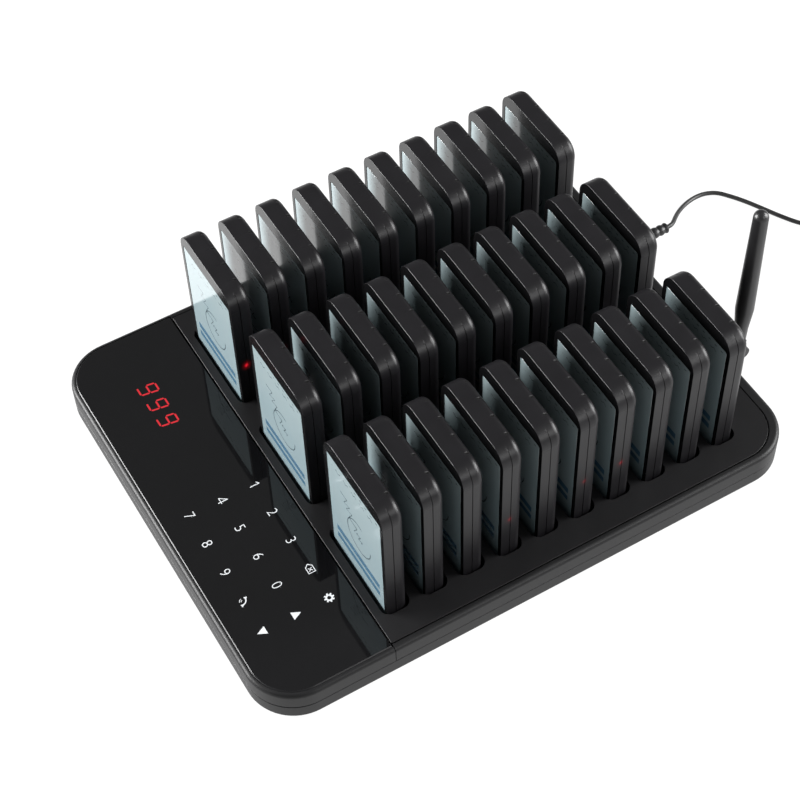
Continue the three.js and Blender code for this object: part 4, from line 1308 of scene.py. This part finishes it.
def set_lamp(piece, level):
    """Stores on every point how brightly the piece's lamp is lit."""
    lamp = piece.data.attributes.new("lamp", "FLOAT", "POINT")
    lamp.data.foreach_set("value", np.full(len(piece.data.vertices), level, np.float32))


def pager_piece(name, shape, finish, row, place, body, replaces=()):
    """One pager piece in its slot, with its place attribute counted from the pager's own corner."""
    corner = np.array([ROW_X[row] - WIDTH / 2, FACE_Y[place], PAGER_BOTTOM])
    placed = Shape().join(shape, to_slot(row, place))
    return add_piece(name, placed, finish, body, replaces, place_from=corner)


CASE, FILM = whole_case().welded(), film_shape().welded()
CASE_FINISHES = [PAGER_BLACK, BEZEL_BLACK]
for row, letter in enumerate("abc"):
    for place in range(10):
        tag = f"{letter}{place + 1:02d}"
        body = f"pager_{tag}"
        if tag == "c01":
            continue
        case = pager_piece(f"case_{tag}", CASE, CASE_FINISHES, row, place, body, (body,))
        set_lamp(case, LAMPS.get(tag, 0.0))
        pager_piece(f"film_{tag}", FILM, [PRINTED_FILM], row, place, body)
for name, shape, node in (("front_case_c01", front_case(), "pager_front_shell"),
                          ("rear_case_c01", rear_case(), "pager_rear_shell")):
    set_lamp(pager_piece(name, shape, CASE_FINISHES, 2, 0, "pager_c01", (node,)), 0.0)
pager_piece("film_c01", FILM, [PRINTED_FILM], 2, 0, "pager_c01", ("pager_label",))
print("pager case", len(CASE.faces), "faces")

# %% [markdown]
# ## Aerial
#
# The aerial screws into a socket in the rear wall, and folds at a knuckle with a pin through it. The
# rod is a soft rubber sleeve with a domed tip.

# %% Aerial
tilt = next(joint for joint in frame["joints"] if joint["name"] == "antenna_tilt")
PIVOT = np.array(tilt["pos_m"]) / MM
ROD_TOP = box_mm("antenna_rod")[1][2] - PIVOT[2]


def rod_shape():
    """Profile of the sleeve: a narrow root, a swell, a long slight taper and half a sphere."""
    tip, swell, root, start = 3.75, 4.7, 3.5, 5.2
    quarter = np.radians(np.linspace(0, 90, 9))
    dome = [(tip * math.cos(a), ROD_TOP - tip + tip * math.sin(a)) for a in quarter]
    dome[-1] = (0, ROD_TOP)
    profile = [(0, start), (root - 0.5, start), (root - 0.3, start + 0.2), (root, start + 12),
               (swell, start + 26), *dome]
    made = lathe(profile, 48)
    side = np.vstack([arc((0, 0), root, 180, 360, 20), [(root, start + 1), (-root, start + 1)]])
    tongue = slab(side, [circle((0, 0), 1.3, 24)], -1.8, 1.8)
    return made.add(tongue.points[:, [2, 0, 1]], tongue.faces)


def knuckle_shape():
    """A turned collar, two cheeks rounded about the pin, and the pin's two heads."""
    back = box_mm("antenna_knuckle")[0][1] - PIVOT[1]
    collar = lathe([(0, back), (4.1, back), (4.5, back + 0.4), (4.5, -4.9), (4.2, -4.6), (0, -4.6)], 40)
    made = Shape().join(collar, towards_rear)
    cheek = np.vstack([arc((0, 0), 4.1, -90, 90, 20), [(-4.7, 4.1), (-4.7, -4.1)]])
    for low, high in ((-4.4, -2.1), (2.1, 4.4)):
        plate = slab(cheek, [], low, high)
        made.add(plate.points[:, [2, 0, 1]], plate.faces)
    across = Matrix.Rotation(math.radians(90), 4, "Y")
    half = [(1.0, 4.2), (1.2, 4.4), (0.9, 4.7), (0, 4.7)]
    pin = lathe([(radius, -height) for radius, height in half[::-1]] + half, 24)
    return made.join(pin, across, finish=1)


def socket_shape():
    """A six-sided nut against the wall, and the barrel that the knuckle turns on."""
    hexagon = circle((0, 0), 4.9, 6)
    away = hexagon / np.linalg.norm(hexagon, axis=1)[:, None]
    rings = swept(hexagon, away, [(0.25, 0.05), (0, 0.3), (0, 1.6), (0.3, 1.9)])
    made = Shape().loft(rings).cap(rings[0], up=False).cap(rings[-1])
    thread = [(3.2 - 0.12 * (i % 2), 1.9 + i * 0.25) for i in range(10)]
    barrel = [(0, -4), (3.0, -4), *thread, (3.0, 4.4), (0, 4.4)]
    return made.join(lathe(barrel, 40))


at_pivot = Matrix.Translation(PIVOT)
socket_frame = Matrix.Translation((PIVOT[0], REAR, PIVOT[2])) @ towards_rear
add_piece("aerial_sleeve", Shape().join(rod_shape(), at_pivot), [AERIAL_BLACK], "aerial_rod",
          replaces=("antenna_rod",))
add_piece("aerial_knuckle", Shape().join(knuckle_shape(), at_pivot), [SOCKET_BLACK, NICKEL],
          "aerial_knuckle", replaces=("antenna_knuckle",))
add_piece("aerial_socket", Shape().join(socket_shape(), socket_frame), [NICKEL], "base",
          replaces=("antenna_socket",))

# %% [markdown]
# ## Inside
#
# The boards, battery, motor, buzzer and lamp of the open pager, and the two boards of the base, keep
# their CAD shapes, which are right, and take real finishes.


# %% Inside
def solder_mask():
    """Green lacquer over copper: tracks are the borders between cells, lighter and a hair proud."""
    paint = Paint("solder_mask")
    cells = paint.node("ShaderNodeTexVoronoi", feature="DISTANCE_TO_EDGE", distance="EUCLIDEAN",
                       links={"Vector": paint.where(), "Scale": 260.0, "Randomness": 0.6})
    track = cells.step(0.06, 0.03)
    colour = paint.blend(track, (0.012, 0.085, 0.035), (0.03, 0.17, 0.06))
    roughness = paint.noise(4) * 0.1 + 0.3
    return paint.finish(Base_Color=colour, Roughness=roughness, Normal=paint.bump(track, 0.03))


def foil_pouch():
    """Crinkled aluminium pouch of the battery."""
    paint = Paint("foil_pouch")
    crinkle = paint.noise(3, 4)
    return paint.finish(
        Base_Color=paint.blend(crinkle, (0.5, 0.52, 0.55), (0.62, 0.64, 0.66)), Metallic=0.9,
        Roughness=crinkle * 0.25 + 0.25, Normal=paint.bump(crinkle, 0.12),
    )


def give_finish(node, material):
    """Puts one material on a CAD node."""
    slots = frame["nodes"][node].data.materials
    slots.clear()
    slots.append(material)


SOLDER_MASK = solder_mask()
UNLIT_LENS = moulded_plastic("unlit_lens", (0.06, 0.006, 0.007), 0.2, 0.5, 0.004)
CAD_FINISHES = {
    "charging_board": SOLDER_MASK, "main_board": SOLDER_MASK, "pager_circuit_board": SOLDER_MASK,
    "dc_jack": SOCKET_BLACK, "pager_battery": foil_pouch(), "pager_vibration_motor": NICKEL,
    "pager_motor_weight": NICKEL, "pager_buzzer": SOCKET_BLACK, "pager_status_light": UNLIT_LENS,
}
for node, material in CAD_FINISHES.items():
    give_finish(node, material)

# %% [markdown]
# ## Studio
#
# The set stands on a plain white floor in a dim grey room. The low key light is for the labels in
# front; the box behind puts a highlight on the corner of every pager, and a small lamp at the side
# draws thin lines on the bevels. A single large light overhead would turn the flat black tops grey.

# %% Studio
def floor_white():
    """A floor that gives out nearly all of its light itself, so that nothing casts a shadow on it."""
    paint = Paint("floor_white")
    shade = paint.noise(400)
    return paint.finish(
        Base_Color=paint.blend(shade, (0.10, 0.10, 0.10), (0.11, 0.11, 0.11)), Roughness=0.9,
        Specular_IOR_Level=0.1, Emission_Color=(1.0, 1.0, 1.0), Emission_Strength=0.94,
    )


def add_floor():
    """One large square at table height, on the stage so that it isn't part of the object."""
    reach = 9000
    corners = np.array([(-1, -1, 0), (1, -1, 0), (1, 1, 0), (-1, 1, 0)]) * reach * MM
    mesh = bpy.data.meshes.new("floor")
    mesh.from_pydata(corners.tolist(), [], [[0, 1, 2, 3]])
    mesh.materials.append(floor_white())
    floor = bpy.data.objects.new("floor", mesh)
    bpy.context.scene.collection.objects.link(floor)


def soft_box(name, towards, distance_mm, size_mm, power, aim=(0, 0, 50)):
    """A square light at some distance from the set in a direction, turned to face it."""
    way = Vector(towards).normalized()
    light = bpy.data.lights.new(name, "AREA")
    light.shape = "SQUARE"
    light.size = size_mm * MM
    light.energy = power
    lamp = bpy.data.objects.new(name, light)
    bpy.context.scene.collection.objects.link(lamp)
    lamp.location = (Vector(aim) + way * distance_mm) * MM
    lamp.rotation_euler = way.to_track_quat("Z", "Y").to_euler()


WALL_LEVELS = [(0.0, 0.22), (0.3, 0.22), (0.6, 0.23), (0.8, 0.27), (1.0, 0.31)]


def studio_walls():
    """World light by elevation: dim grey walls that grow a little lighter towards the ceiling."""
    world = bpy.data.worlds.new("studio")
    bpy.context.scene.world = world
    world.use_nodes = True
    nodes, links = world.node_tree.nodes, world.node_tree.links
    nodes.clear()
    where = nodes.new("ShaderNodeTexCoord")
    split = nodes.new("ShaderNodeSeparateXYZ")
    ramp = nodes.new("ShaderNodeValToRGB")
    background = nodes.new("ShaderNodeBackground")
    output = nodes.new("ShaderNodeOutputWorld")
    elements = ramp.color_ramp.elements
    for index, (place, level) in enumerate(WALL_LEVELS):
        stop = elements[index] if index < len(elements) else elements.new(place)
        stop.position = place
        stop.color = (level, level, level, 1)
    background.inputs["Strength"].default_value = 1.0
    links.new(where.outputs["Generated"], split.inputs[0])
    links.new(split.outputs["Z"], ramp.inputs[0])
    links.new(ramp.outputs[0], background.inputs["Color"])
    links.new(background.outputs[0], output.inputs[0])


add_floor()
studio_walls()
soft_box("key", (-0.55, -0.78, 0.3), 1500, 800, 66)
soft_box("rear_fill", (0.34, 0.85, 0.41), 1500, 950, 44)
soft_box("side_glint", (0.8, 0.29, 0.53), 1500, 600, 5)
bpy.context.scene.view_settings.view_transform = "Standard"
